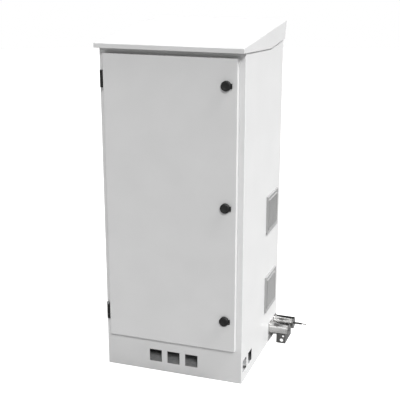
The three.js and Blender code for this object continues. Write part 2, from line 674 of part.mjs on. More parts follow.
/** A 35 mm top-hat rail. */
function dinRail(z) {
  const wide = 17.5;
  const narrow = 12.5;
  const profile = polygon(
    [PANEL_FACE, z - narrow], [PANEL_FACE, z + narrow], [RAIL_FACE + 1, z + narrow],
    [RAIL_FACE + 1, z + wide], [RAIL_FACE, z + wide], [RAIL_FACE, z + narrow - 1],
    [PANEL_FACE - 1, z + narrow - 1], [PANEL_FACE - 1, z - narrow + 1], [RAIL_FACE, z - narrow + 1],
    [RAIL_FACE, z - wide], [RAIL_FACE + 1, z - wide], [RAIL_FACE + 1, z - narrow]);
  return prism('x', profile, [-215, 215]);
}

/** A rail-mounted device: a body with a raised nose along its middle. */
function railDevice([x0, x1], z, bodyDepth, noseDepth) {
  const seat = RAIL_FACE - GAP;
  return join(
    block([x0, x1], [seat - bodyDepth, seat], [z - 42.5, z + 42.5]),
    block([x0, x1], [seat - noseDepth, seat], [z - 22.5, z + 22.5]));
}

const SWITCH = { x0: -190, x1: -118, nose: 60 };
const BREAKER = { x0: -90, x1: -37, nose: 58 };

/** The rotary handle of the main switch: a disc with a straight grip across it. */
function switchHandle(z) {
  const x = (SWITCH.x0 + SWITCH.x1) / 2;
  const face = RAIL_FACE - GAP - SWITCH.nose;
  return join(
    bar('y', [x, z], 20, [face - 5, face - GAP], 24),
    block([x - 5, x + 5], [face - 20, face - 4], [z - 20, z + 20]));
}

/** The breaker's linked toggle: a small drum in its slot with a finger bar. */
function breakerToggle(z) {
  const { x0, x1 } = BREAKER;
  const y = RAIL_FACE - GAP - BREAKER.nose;
  const finger = polygon([y, z - 3], [y, z + 3], [y - 16, z - 8], [y - 16, z - 12]);
  return join(
    bar('x', [y, z], 6, [x0 + 6, x1 - 6], 16),
    prism('x', finger, [x0 + 9, x1 - 9]));
}

/** A row of feed-through terminals, each separated by a thin groove. */
function terminalBlock(z) {
  const [x0, count, width] = [-10, 10, 12];
  const seat = RAIL_FACE - GAP;
  const body = join(
    block([x0, x0 + count * width], [seat - 40, seat], [z - 28, z + 28]),
    block([x0, x0 + count * width], [seat - 52, seat], [z - 14, z + 14]));
  const grooves = Array.from({ length: count - 1 }, (_, i) => {
    const x = x0 + (i + 1) * width;
    return block([x - 0.6, x + 0.6], [seat - 60, seat - 30], [z - 40, z + 40]);
  });
  return cut(body, ...grooves);
}

/** The earth bar: a bent flat bar with a row of screw holes. */
function earthBar() {
  const [y0, y1] = [PANEL_FACE - 22, PANEL_FACE - 17];
  const [end, footHalf, pitch] = [150, 12, 40];
  const height = [300, 330];
  const strip = block([-end, end], [y0, y1], height);
  const feet = [-end, end].map((x) =>
    block([x - footHalf, x + footHalf], [y0, PANEL_FACE - GAP], height));
  const holes = Array.from({ length: 6 }, (_, i) =>
    bar('y', [(i - 2.5) * pitch, (height[0] + height[1]) / 2], 4.5, [y0 - 1, y1 + 1], 12));
  return cut(join(strip, ...feet), ...holes);
}

function equipment() {
  const z = RAIL_Z;
  const toggleY = RAIL_FACE - GAP - BREAKER.nose;
  const slot = bar('x', [toggleY, z], 6.6, [BREAKER.x0 + 5, BREAKER.x1 - 5], 16);
  return [
    piece('mounting_plate', mountingPlate(), 'zinc'),
    piece('din_rail', dinRail(z), 'zinc'),
    piece('main_switch', railDevice([SWITCH.x0, SWITCH.x1], z, 44, SWITCH.nose), 'greyPlastic'),
    piece('main_switch_handle', switchHandle(z), 'redPlastic'),
    piece('circuit_breaker',
      cut(railDevice([BREAKER.x0, BREAKER.x1], z, 44, BREAKER.nose), slot), 'greyPlastic'),
    piece('circuit_breaker_toggle', breakerToggle(z), 'blackPlastic'),
    piece('terminal_block', terminalBlock(z), 'greyPlastic'),
    piece('earth_bar', earthBar(), 'brass'),
  ];
}

// ---------------------------------------------------------------- the whole cabinet

const cabinet = new THREE.Group();
cabinet.name = 'utility_cabinet';
for (const assembly of [enclosure, roof, door, hinges, locks, ventilation, sideFittings, equipment]) {
  cabinet.add(...assembly());
}

export default cabinet;
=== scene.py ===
"""Looks of a roadside utility cabinet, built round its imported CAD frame.

Sheet-metal nodes keep their CAD shape and get rounded folds and powder coat. Turned, moulded
and cast pieces are modelled again with bmesh operators in the same place, and ride on the
same bodies. All lengths are metres in the frame: +Z up, the door faces -Y, vents on +X.
"""

import logging
import math
from dataclasses import dataclass
from enum import Enum

import bmesh
import bpy
from mathutils import Matrix, Vector


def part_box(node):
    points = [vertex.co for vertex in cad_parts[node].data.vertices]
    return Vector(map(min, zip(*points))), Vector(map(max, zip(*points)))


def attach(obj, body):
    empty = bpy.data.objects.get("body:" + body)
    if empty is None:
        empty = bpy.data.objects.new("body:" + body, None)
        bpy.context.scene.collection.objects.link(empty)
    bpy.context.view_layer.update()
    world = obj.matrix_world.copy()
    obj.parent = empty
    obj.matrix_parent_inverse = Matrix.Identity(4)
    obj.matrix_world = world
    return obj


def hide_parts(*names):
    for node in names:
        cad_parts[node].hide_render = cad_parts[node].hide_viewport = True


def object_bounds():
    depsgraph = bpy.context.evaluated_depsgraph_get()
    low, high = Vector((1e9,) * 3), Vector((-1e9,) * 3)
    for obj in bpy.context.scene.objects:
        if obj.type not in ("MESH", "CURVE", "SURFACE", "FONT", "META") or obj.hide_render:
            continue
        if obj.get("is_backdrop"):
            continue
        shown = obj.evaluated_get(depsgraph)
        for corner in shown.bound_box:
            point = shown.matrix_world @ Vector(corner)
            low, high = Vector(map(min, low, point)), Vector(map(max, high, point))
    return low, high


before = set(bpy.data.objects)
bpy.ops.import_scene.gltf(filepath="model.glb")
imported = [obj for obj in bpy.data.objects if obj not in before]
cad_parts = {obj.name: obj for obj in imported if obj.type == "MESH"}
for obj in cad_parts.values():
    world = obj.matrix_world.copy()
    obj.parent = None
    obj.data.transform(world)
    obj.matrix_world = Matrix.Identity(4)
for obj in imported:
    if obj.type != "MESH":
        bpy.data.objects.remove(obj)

LOG = logging.getLogger("cabinet")
MM = 0.001
SMOOTH_ANGLE = math.radians(38)

Profile = list[tuple[float, float]]
Triple = tuple[float, float, float]
Colour = Triple


def in_mm(*points: tuple[float, float]) -> Profile:
    """Points given in millimetres, as points in metres."""
    return [(across * MM, along * MM) for across, along in points]


class Slot(Enum):
    """The record's material slots."""

    PAINT = "white_paint"
    BLACK = "black_plastic"
    GREY = "grey_plastic"
    RUBBER = "rubber"
    FIBRE = "filter_fibre"
    STEEL = "stainless"
    ZINC = "zinc_plate"
    BRASS = "brass"
    RED = "red_plastic"


class Side(Enum):
    """The two sides of the cabinet, as the nodes' names have them."""

    LEFT = "left"
    RIGHT = "right"


class Facing(Enum):
    """Where the +Z end of a shape points once it is placed."""

    UP = Matrix.Identity(4)
    FRONT = Matrix.Rotation(math.pi / 2, 4, "X")
    REAR = Matrix.Rotation(-math.pi / 2, 4, "X")
    RIGHT = Matrix.Rotation(math.pi / 2, 4, "Y")
    LEFT = Matrix.Rotation(-math.pi / 2, 4, "Y")


@dataclass(frozen=True)
class Extent:
    """The box of a CAD node at rest."""

    low: Vector
    high: Vector

    @classmethod
    def of(cls, node: str) -> "Extent":
        """Reads the box of one node from the frame."""
        low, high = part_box(node)
        return cls(low, high)

    @property
    def centre(self) -> Vector:
        """The middle of the box."""
        return (self.low + self.high) / 2

    @property
    def size(self) -> Vector:
        """The three edge lengths."""
        return self.high - self.low

    @property
    def inner(self) -> Vector:
        """The middle of its face towards -X, where parts on the right wall start."""
        return Vector((self.low.x, self.centre.y, self.centre.z))


# ------------------------------------------------------------------------------ node graphs

# Almost all of a noise field lies between these two values.
USUAL_SPREAD = (0.3, 0.7)


class Graph:
    """The shader nodes of one material."""

    def __init__(self, name: str) -> None:
        """Starts an empty material with its output and object coordinates.

        Args:
            name: the material's name.
        """
        self.material = bpy.data.materials.new(name)
        self.material.use_nodes = True
        self.tree = self.material.node_tree
        self.tree.nodes.clear()
        self.output = self.tree.nodes.new("ShaderNodeOutputMaterial")
        self.place = self.tree.nodes.new("ShaderNodeTexCoord").outputs["Object"]

    def node(self, kind: str, **settings: object) -> bpy.types.Node:
        """Adds a node and sets its own properties.

        Args:
            kind: the node's type name.
            **settings: properties of the node.

        Returns:
            The new node.
        """
        made = self.tree.nodes.new(kind)
        for key, value in settings.items():
            setattr(made, key, value)
        return made

    def link(self, source: bpy.types.NodeSocket, target: bpy.types.NodeSocket) -> None:
        """Joins an output to an input."""
        self.tree.links.new(source, target)

    def stretched(self, scale: Triple) -> bpy.types.NodeSocket:
        """Object coordinates multiplied on each axis.

        Args:
            scale: features per metre along x, y and z.

        Returns:
            The mapped coordinates.
        """
        mapping = self.node("ShaderNodeMapping")
        mapping.inputs["Scale"].default_value = scale
        self.link(self.place, mapping.inputs["Vector"])
        return mapping.outputs["Vector"]

    def noise(self, scale: Triple, detail: float = 2.0) -> bpy.types.NodeSocket:
        """A noise field on object coordinates.

        Args:
            scale: features per metre along x, y and z.
            detail: octaves of the noise.

        Returns:
            The noise's grey value, about 0.5 on average.
        """
        made = self.node("ShaderNodeTexNoise")
        made.inputs["Scale"].default_value = 1.0
        made.inputs["Detail"].default_value = detail
        self.link(self.stretched(scale), made.inputs["Vector"])
        return made.outputs["Fac"]

    def cells(self, scale: float) -> bpy.types.NodeSocket:
        """A random colour for each Voronoi cell on object coordinates.

        Args:
            scale: cells per metre.

        Returns:
            The colour.
        """
        made = self.node("ShaderNodeTexVoronoi", feature="F1")
        made.inputs["Scale"].default_value = scale
        self.link(self.place, made.inputs["Vector"])
        return made.outputs["Color"]

    def ramp(self, value: bpy.types.NodeSocket, dark: Colour, light: Colour,
             spread: tuple[float, float] = USUAL_SPREAD) -> bpy.types.NodeSocket:
        """A colour that runs from dark to light as the value rises.

        Args:
            value: the field that drives it.
            dark: linear colour at the low end.
            light: linear colour at the high end.
            spread: the values at which the two ends are reached.

        Returns:
            The colour.
        """
        made = self.node("ShaderNodeValToRGB")
        low, high = made.color_ramp.elements
        low.position, high.position = spread
        low.color, high.color = (*dark, 1.0), (*light, 1.0)
        self.link(value, made.inputs["Fac"])
        return made.outputs["Color"]

    def span(self, value: bpy.types.NodeSocket, low: float, high: float) -> bpy.types.NodeSocket:
        """The field mapped from its usual spread to low..high.

        Args:
            value: the field.
            low: result at the low end of the spread.
            high: result at the high end of the spread.

        Returns:
            The mapped value.
        """
        made = self.node("ShaderNodeMapRange")
        numbers = (*USUAL_SPREAD, low, high)
        for socket, number in zip(("From Min", "From Max", "To Min", "To Max"), numbers):
            made.inputs[socket].default_value = number
        self.link(value, made.inputs["Value"])
        return made.outputs["Result"]

    def bump(self, height: bpy.types.NodeSocket, depth: float, strength: float = 1.0,
             under: bpy.types.NodeSocket | None = None) -> bpy.types.NodeSocket:
        """A bumped normal.

        Args:
            height: the relief, 0 to 1.
            depth: the relief's height in metres.
            strength: share of the relief that shows.
            under: a normal that this one is laid over.

        Returns:
            The normal.
        """
        made = self.node("ShaderNodeBump")
        made.inputs["Distance"].default_value = depth
        made.inputs["Strength"].default_value = strength
        self.link(height, made.inputs["Height"])
        if under is not None:
            self.link(under, made.inputs["Normal"])
        return made.outputs["Normal"]

    def surface(self, colour: bpy.types.NodeSocket, roughness: bpy.types.NodeSocket,
                normal: bpy.types.NodeSocket, **constants: float) -> bpy.types.Material:
        """Finishes the material with one principled surface.

        Args:
            colour: base colour.
            roughness: roughness.
            normal: bumped normal.
            **constants: other sockets by name, with _ for a space.

        Returns:
            The finished material.
        """
        shader = self.node("ShaderNodeBsdfPrincipled")
        for key, value in constants.items():
            shader.inputs[key.replace("_", " ")].default_value = value
        self.link(colour, shader.inputs["Base Color"])
        self.link(roughness, shader.inputs["Roughness"])
        self.link(normal, shader.inputs["Normal"])
        self.link(shader.outputs["BSDF"], self.output.inputs["Surface"])
        return self.material


def even(scale: float) -> Triple:
    """The same number of features per metre on all three axes."""
    return (scale, scale, scale)


def grey(value: float, tint: Colour = (1.0, 1.0, 1.0)) -> Colour:
    """A linear grey with a slight tint."""
    return (value * tint[0], value * tint[1], value * tint[2])


# ------------------------------------------------------------------------------ finishes


@dataclass(frozen=True)
class PowderCoat:
    """Baked powder coat: faint orange peel and a very even, slightly mottled tone."""

    name: str = "powder_coat"
    tone: float = 0.67
    mottle: float = 0.012
    clouds_per_metre: float = 7.0
    peel_per_metre: float = 620.0
    peel_depth: float = 0.05 * MM
    grain_share: float = 5.0

    def make(self) -> bpy.types.Material:
        """Builds the material.

        Returns:
            The finished material.
        """
        g = Graph(self.name)
        cloud = g.noise(even(self.clouds_per_metre), 3.0)
        peel = g.noise(even(self.peel_per_metre), 1.0)
        grain = g.noise(even(self.peel_per_metre * self.grain_share), 0.0)
        colour = g.ramp(cloud, grey(self.tone - self.mottle), grey(self.tone + self.mottle))
        orange_peel = g.bump(peel, self.peel_depth, 0.5)
        normal = g.bump(grain, self.peel_depth / self.grain_share, 0.4, orange_peel)
        return g.surface(colour, g.span(cloud, 0.42, 0.5), normal, Specular_IOR_Level=0.35)


@dataclass(frozen=True)
class MouldedPlastic:
    """Injection-moulded plastic with a spark-eroded grain and slight flow marks."""

    name: str
    dark: Colour
    light: Colour
    roughness: tuple[float, float] = (0.42, 0.55)
    grain_per_metre: float = 2600.0
    grain_depth: float = 0.03 * MM
    flow_depth: float = 0.4 * MM
    specular: float = 0.5

    def make(self) -> bpy.types.Material:
        """Builds the material.

        Returns:
            The finished material.
        """
        g = Graph(self.name)
        flow = g.noise((40.0, 40.0, 14.0), 3.0)
        grain = g.noise(even(self.grain_per_metre), 2.0)
        normal = g.bump(grain, self.grain_depth, 0.6, g.bump(flow, self.flow_depth, 0.08))
        return g.surface(g.ramp(flow, self.dark, self.light), g.span(grain, *self.roughness),
                         normal, Specular_IOR_Level=self.specular)


@dataclass(frozen=True)
class SoftRubber:
    """Foamed or extruded rubber: matt, with fine pores and dusty highlights."""

    name: str
    dark: Colour = (0.012, 0.012, 0.013)
    light: Colour = (0.028, 0.028, 0.029)
    pores_per_metre: float = 1500.0
    pore_depth: float = 0.12 * MM

    def make(self) -> bpy.types.Material:
        """Builds the material.

        Returns:
            The finished material.
        """
        g = Graph(self.name)
        pores = g.noise(even(self.pores_per_metre), 3.0)
        cloud = g.noise(even(30.0), 2.0)
        return g.surface(g.ramp(cloud, self.dark, self.light), g.span(pores, 0.7, 0.9),
                         g.bump(pores, self.pore_depth, 0.7), Sheen_Weight=0.15,
                         Sheen_Roughness=0.5)


@dataclass(frozen=True)
class WorkedMetal:
    """Bare or plated metal whose tool marks run across one axis."""

    name: str
    dark: Colour
    light: Colour
    lines_per_metre: Triple
    roughness: tuple[float, float]
    cloud_per_metre: float = 30.0
    depth: float = 0.008 * MM

    def make(self) -> bpy.types.Material:
        """Builds the material.

        Returns:
            The finished material.
        """
        g = Graph(self.name)
        lines = g.noise(self.lines_per_metre, 2.0)
        cloud = g.noise(even(self.cloud_per_metre), 3.0)
        return g.surface(g.ramp(cloud, self.dark, self.light), g.span(lines, *self.roughness),
                         g.bump(lines, self.depth, 0.5), Metallic=1.0)


@dataclass(frozen=True)
class ZincCoat:
    """Hot-dip zinc on sheet: angular spangles with slightly different tones."""

    name: str = "zinc_sheet"
    spangles_per_metre: float = 110.0
    metallic: float = 0.9
    tone: float = 1.0
    wear_depth: float = 0.02 * MM

    def make(self) -> bpy.types.Material:
        """Builds the material.

        Returns:
            The finished material.
        """
        g = Graph(self.name)
        cells = g.cells(self.spangles_per_metre)
        split = g.node("ShaderNodeSeparateColor")
        g.link(cells, split.inputs["Color"])
        wear = g.noise(even(260.0), 3.0)
        colour = g.ramp(split.outputs["Red"], grey(0.46 * self.tone, (0.97, 1.0, 1.02)),
                        grey(0.6 * self.tone), (0.0, 1.0))
        return g.surface(colour, g.span(split.outputs["Green"], 0.32, 0.5),
                         g.bump(wear, self.wear_depth, 0.4), Metallic=self.metallic)


@dataclass(frozen=True)
class FilterFibre:
    """Bonded synthetic filter mat: tangled fibres with soft fuzz."""

    name: str = "filter_fibre_mat"
    strand_depth: float = 0.6 * MM

    def make(self) -> bpy.types.Material:
        """Builds the material.

        Returns:
            The finished material.
        """
        g = Graph(self.name)
        strands = g.noise((300.0, 1400.0, 500.0), 4.0)
        crossing = g.noise((300.0, 450.0, 1500.0), 4.0)
        normal = g.bump(strands, self.strand_depth, 0.8, g.bump(crossing, self.strand_depth, 0.8))
        return g.surface(g.ramp(crossing, grey(0.2), grey(0.42)), g.span(strands, 0.85, 1.0),
                         normal, Sheen_Weight=0.3, Sheen_Roughness=0.6)


STEEL_TINT = (1.0, 0.995, 0.98)

COAT = PowderCoat()
BLACK_PLASTIC = MouldedPlastic("black_moulding", grey(0.009), grey(0.016), (0.45, 0.6),
                               specular=0.3)
GREY_PLASTIC = MouldedPlastic("grey_moulding", grey(0.335), grey(0.365), (0.55, 0.68),
                              specular=0.12)
# The same plastic as the vent frame, made darker: painted shade that stands for the shadow between
# the louvre slats.
SHADED_GRILLE_PLASTIC = MouldedPlastic("grille_painted_shade_moulding", grey(0.225), grey(0.25), (0.55, 0.68),
                                specular=0.15)
DEVICE_PLASTIC = MouldedPlastic("device_moulding", grey(0.5), grey(0.55), (0.4, 0.5))
RED_PLASTIC = MouldedPlastic("red_moulding", (0.36, 0.012, 0.01), (0.44, 0.02, 0.015), (0.3, 0.4))
MARK_PLASTIC = MouldedPlastic("pale_inlay", grey(0.68), grey(0.75), (0.45, 0.55))
GASKET_FOAM = SoftRubber("gasket_foam")
SLEEVE_RUBBER = SoftRubber("sleeve_rubber", grey(0.01), grey(0.02), 2500.0)
TURNED_STEEL = WorkedMetal("turned_steel", grey(0.52, STEEL_TINT), grey(0.6, STEEL_TINT),
                           (2400.0, 6.0, 6.0), (0.14, 0.22), depth=0.04 * MM)
BRUSHED_STEEL = WorkedMetal("brushed_steel", grey(0.13, STEEL_TINT), grey(0.19, STEEL_TINT),
                            (60.0, 60.0, 2200.0), (0.3, 0.44))
CAP_STEEL = WorkedMetal("dark_turned_steel", grey(0.2, STEEL_TINT), grey(0.27, STEEL_TINT),
                        (6.0, 1800.0, 1800.0), (0.2, 0.3), depth=0.02 * MM)
PLATE_STEEL = WorkedMetal("wall_plate_steel", grey(0.3, STEEL_TINT), grey(0.38, STEEL_TINT),
                          (60.0, 60.0, 2200.0), (0.28, 0.4))
# The weld bead is darker than the sleeves: partly the weld's own tone, partly painted shade for the
# dark gap where the sleeves meet the wall plate.
WELD_STEEL_AND_SHADE = WorkedMetal("weld_bead", grey(0.25, (1.0, 0.97, 0.93)), grey(0.42, (1.0, 0.98, 0.96)),
                         even(900.0), (0.3, 0.5), 220.0, 0.06 * MM)
BRIGHT_ZINC = WorkedMetal("bright_zinc", grey(0.5, (0.96, 1.0, 1.03)), grey(0.62, (1.0, 1.0, 1.02)),
                          even(420.0), (0.24, 0.36), 90.0)
BRASS = WorkedMetal("brushed_brass", (0.58, 0.4, 0.14), (0.7, 0.5, 0.2), (20.0, 900.0, 1600.0),
                    (0.24, 0.36))
ZINC_SHEET = ZincCoat()
DECK_ZINC = ZincCoat("weathered_deck_zinc", 90.0, 0.25, 0.85)
FIBRE = FilterFibre()

Finish = PowderCoat | MouldedPlastic | SoftRubber | WorkedMetal | ZincCoat | FilterFibre


class Store:
    """Makes each finish once and hands it out."""

    made: dict[str, bpy.types.Material] = {}

    @classmethod
    def material(cls, finish: Finish) -> bpy.types.Material:
        """The material of one finish.

        Args:
            finish: the finish.

        Returns:
            Its material, made on the first call.
        """
        if finish.name not in cls.made:
            cls.made[finish.name] = finish.make()
        return cls.made[finish.name]


# ------------------------------------------------------------------------------ shapes


class Solid:
    """A closed shape made with bmesh operators."""

    def __init__(self, mesh: bmesh.types.BMesh) -> None:
        """Wraps a bmesh and turns its faces outwards.

        Args:
            mesh: a closed bmesh.
        """
        bmesh.ops.remove_doubles(mesh, verts=mesh.verts, dist=1e-7)
        bmesh.ops.recalc_face_normals(mesh, faces=mesh.faces)
        self.mesh = mesh

    @classmethod
    def block(cls, low: Vector, high: Vector, radius: float = 0.0, segments: int = 2) -> "Solid":
        """A block between two corners, with rounded edges.

        Args:
            low: lowest corner.
            high: highest corner.
            radius: edge radius, or 0 for sharp edges.
            segments: faces across each rounded edge.

        Returns:
            The block.
        """
        mesh = bmesh.new()
        bmesh.ops.create_cube(mesh, size=1.0)
        low, high = Vector(low), Vector(high)
        bmesh.ops.scale(mesh, vec=high - low, verts=mesh.verts)
        bmesh.ops.translate(mesh, vec=(low + high) / 2, verts=mesh.verts)
        made = cls(mesh)
        return made.softened(radius, segments) if radius else made

    @classmethod
    def turned(cls, profile: Profile, steps: int = 48) -> "Solid":
        """A shape of revolution about Z.

        Args:
            profile: (radius, height) pairs in metres; a profile that starts and ends off the
                axis is closed on itself.
            steps: faces round the shape.

        Returns:
            The turned shape.
        """
        mesh = bmesh.new()
        points = [mesh.verts.new((radius, 0.0, height)) for radius, height in profile]
        edges = [mesh.edges.new(pair) for pair in zip(points, points[1:])]
        if profile[0][0] > 0 and profile[-1][0] > 0:
            edges.append(mesh.edges.new((points[-1], points[0])))
        bmesh.ops.spin(mesh, geom=points + edges, cent=(0, 0, 0), axis=(0, 0, 1),
                       angle=math.tau, steps=steps, use_merge=True)
        return cls(mesh)

    @classmethod
    def square_ring(cls, profile: Profile) -> "Solid":
        """A square frame about Z.

        Args:
            profile: (half width, height) pairs of its section.

        Returns:
            The frame, with its sides along X and Y.
        """
        corners = [(half * math.sqrt(2), height) for half, height in profile]
        return cls.turned(corners, 4).moved(Matrix.Rotation(math.pi / 4, 4, "Z"))

    @classmethod
    def prism(cls, outline: Profile, length: float) -> "Solid":
        """An outline in the XY plane, extruded up.

        Args:
            outline: corners in order.
            length: height of the prism.

        Returns:
            The prism.
        """
        mesh = bmesh.new()
        face = mesh.faces.new([mesh.verts.new((x, y, 0.0)) for x, y in outline])
        pushed = bmesh.ops.extrude_face_region(mesh, geom=[face], use_keep_orig=True)
        top = [v for v in pushed["geom"] if isinstance(v, bmesh.types.BMVert)]
        bmesh.ops.translate(mesh, vec=(0, 0, length), verts=top)
        return cls(mesh)

    @classmethod
    def socket_screw(cls, radius: float, height: float, socket: float, corners: int = 6) -> "Solid":
        """A cylinder-head screw with a recessed drive.

        Args:
            radius: head radius.
            height: head height.
            socket: radius of the drive across its corners.
            corners: corners of the drive.

        Returns:
            The screw head, standing on z = 0.
        """
        mesh = bmesh.new()
        sides = corners * 4
        rounding = height * 0.22
        bmesh.ops.create_cone(mesh, cap_ends=True, segments=sides, radius1=radius, radius2=radius,
                              depth=height)
        bmesh.ops.translate(mesh, vec=(0, 0, height / 2), verts=mesh.verts)
        top = max(mesh.faces, key=lambda f: f.calc_center_median().z)
        bmesh.ops.bevel(mesh, geom=list(top.edges), offset=rounding, affect="EDGES",
                        segments=3, profile=0.5, material=-1)
        top = max(mesh.faces, key=lambda f: (f.calc_center_median().z, len(f.verts)))
        bmesh.ops.inset_region(mesh, faces=[top], thickness=(radius - rounding) - socket)
        pushed = bmesh.ops.extrude_discrete_faces(mesh, faces=[top])["faces"]
        bmesh.ops.translate(mesh, vec=(0, 0, -height * 0.55),
                            verts=list({v for f in pushed for v in f.verts}))
        return cls(mesh)

    @classmethod
    def hex_head(cls, flats: float, height: float, washer: float = 0.0) -> "Solid":
        """A six-sided bolt head or nut on an optional washer.

        Args:
            flats: distance across flats.
            height: head height above the washer.
            washer: washer radius, or 0 for none.

        Returns:
            The head, standing on z = 0.
        """
        mesh = bmesh.new()
        bmesh.ops.create_cone(mesh, cap_ends=True, segments=6, radius1=flats / math.sqrt(3),
                              radius2=flats / math.sqrt(3), depth=height)
        thickness = height * 0.3 if washer else 0.0
        bmesh.ops.translate(mesh, vec=(0, 0, height / 2 + thickness), verts=mesh.verts)
        bmesh.ops.bevel(mesh, geom=list(mesh.edges), offset=height * 0.1, affect="EDGES",
                        segments=2, profile=0.5, material=-1)
        head = cls(mesh)
        if washer:
            ring = cls.turned([(0, 0), (washer, 0), (washer, thickness), (0, thickness)], 32)
            head.joined(ring)
        return head

    def softened(self, radius: float, segments: int = 2, angle: float = 30.0) -> "Solid":
        """Rounds every edge that turns by more than an angle.

        Args:
            radius: width of the rounding.
            segments: faces across it.
            angle: smallest turn in degrees that counts as an edge.

        Returns:
            This shape.
        """
        limit = math.radians(angle)
        sharp = [e for e in self.mesh.edges if e.is_manifold and e.calc_face_angle() > limit]
        bmesh.ops.bevel(self.mesh, geom=sharp, offset=radius, affect="EDGES", segments=segments,
                        profile=0.5, material=-1, clamp_overlap=True)
        return self

    def placed(self, where: Vector | Triple, facing: Facing = Facing.UP) -> "Solid":
        """Turns the shape from +Z to a facing, then moves its origin.

        Args:
            where: the new place of the shape's origin.
            facing: where its +Z end points.

        Returns:
            This shape.
        """
        bmesh.ops.transform(self.mesh, matrix=Matrix.Translation(where) @ facing.value,
                            verts=self.mesh.verts)
        return self

    def moved(self, matrix: Matrix) -> "Solid":
        """Applies any matrix to the shape.

        Args:
            matrix: the matrix, which may mirror the shape.

        Returns:
            This shape.
        """
        bmesh.ops.transform(self.mesh, matrix=matrix, verts=self.mesh.verts)
        if matrix.determinant() < 0:
            bmesh.ops.recalc_face_normals(self.mesh, faces=self.mesh.faces)
        return self

    def joined(self, *others: "Solid") -> "Solid":
        """Adds the faces of other shapes.

        Args:
            *others: the shapes, which are used up.

        Returns:
            This shape.
        """
        for other in others:
            scratch = bpy.data.meshes.new("scratch")
            other.mesh.to_mesh(scratch)
            self.mesh.from_mesh(scratch)
            bpy.data.meshes.remove(scratch)
            other.mesh.free()
        return self


def make_piece(name: str, solids: list[Solid], body: str, finish: Finish,
               replaces: tuple[str, ...] = ()) -> bpy.types.Object:
    """Makes one object of several shapes and fixes it to a body.

    Args:
        name: the piece's name.
        solids: its shapes, which are used up.
        body: the CAD body it moves with.
        finish: what it is made of.
        replaces: CAD nodes it stands for.

    Returns:
        The object.
    """
    whole = solids[0].joined(*solids[1:])
    mesh = bpy.data.meshes.new(name)
    whole.mesh.to_mesh(mesh)
    whole.mesh.free()
    mesh.polygons.foreach_set("use_smooth", [True] * len(mesh.polygons))
    mesh.set_sharp_from_angle(angle=SMOOTH_ANGLE)
    mesh.materials.append(Store.material(finish))
    made = bpy.data.objects.new(name, mesh)
    bpy.context.scene.collection.objects.link(made)
    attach(made, body)
    if replaces:
        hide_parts(*replaces)
    LOG.info("%s: %d faces on %s", name, len(mesh.polygons), body)
    return made


class FoldShading:
    """The modifiers that give a CAD node welded corners, small edge radii and clean shading."""

    group: bpy.types.NodeTree | None = None

    @classmethod
    def shading(cls) -> bpy.types.NodeTree:
        """The node group that shades faces smooth up to a limiting angle.

        Returns:
            The group, made on the first call.
        """
        if cls.group is None:
            tree = bpy.data.node_groups.new("fold_shading", "GeometryNodeTree")
            for direction in ("INPUT", "OUTPUT"):
                tree.interface.new_socket("Geometry", in_out=direction,
                                          socket_type="NodeSocketGeometry")
            start, end = tree.nodes.new("NodeGroupInput"), tree.nodes.new("NodeGroupOutput")
            normals = tree.nodes.new("GeometryNodeSetMeshNormal")
            normals.mode = "SHARPNESS"
            angle = tree.nodes.new("GeometryNodeInputMeshEdgeAngle")
            compare = tree.nodes.new("FunctionNodeCompare")
            compare.data_type, compare.operation = "FLOAT", "GREATER_THAN"
            compare.inputs[1].default_value = SMOOTH_ANGLE
            normals.inputs["Remove Custom"].default_value = True
            tree.links.new(angle.outputs["Unsigned Angle"], compare.inputs[0])
            tree.links.new(compare.outputs["Result"], normals.inputs["Edge Sharpness"])
            tree.links.new(start.outputs[0], normals.inputs["Mesh"])
            tree.links.new(normals.outputs["Mesh"], end.inputs[0])
            cls.group = tree
        return cls.group

    @classmethod
    def apply(cls, node: str, finish: Finish, radius: float = 0.0, segments: int = 2) -> None:
        """Dresses one CAD node.

        Args:
            node: the node's name.
            finish: what it is made of.
            radius: edge radius, or 0 to keep its edges sharp.
            segments: faces across each radius.
        """
        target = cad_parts[node]
        for index in range(len(target.material_slots)):
            target.material_slots[index].material = Store.material(finish)
        weld = target.modifiers.new("weld", "WELD")
        weld.merge_threshold = 2e-5
        flat = target.modifiers.new("flat_faces", "DECIMATE")
        flat.decimate_type = "DISSOLVE"
        flat.angle_limit = math.radians(1)
        if radius:
            bevel = target.modifiers.new("radius", "BEVEL")
            bevel.width = radius
            bevel.segments = segments
            bevel.limit_method = "ANGLE"
            bevel.angle_limit = math.radians(40)
            bevel.profile = 0.5
            bevel.use_clamp_overlap = True
        shade = target.modifiers.new("shading", "NODES")
        shade.node_group = cls.shading()
        flat_normals = target.modifiers.new("flat_normals", "WEIGHTED_NORMAL")
        flat_normals.keep_sharp = True
        LOG.info("%s: CAD shape in %s", node, finish.name)


# ------------------------------------------------------------------------------ sub-assemblies


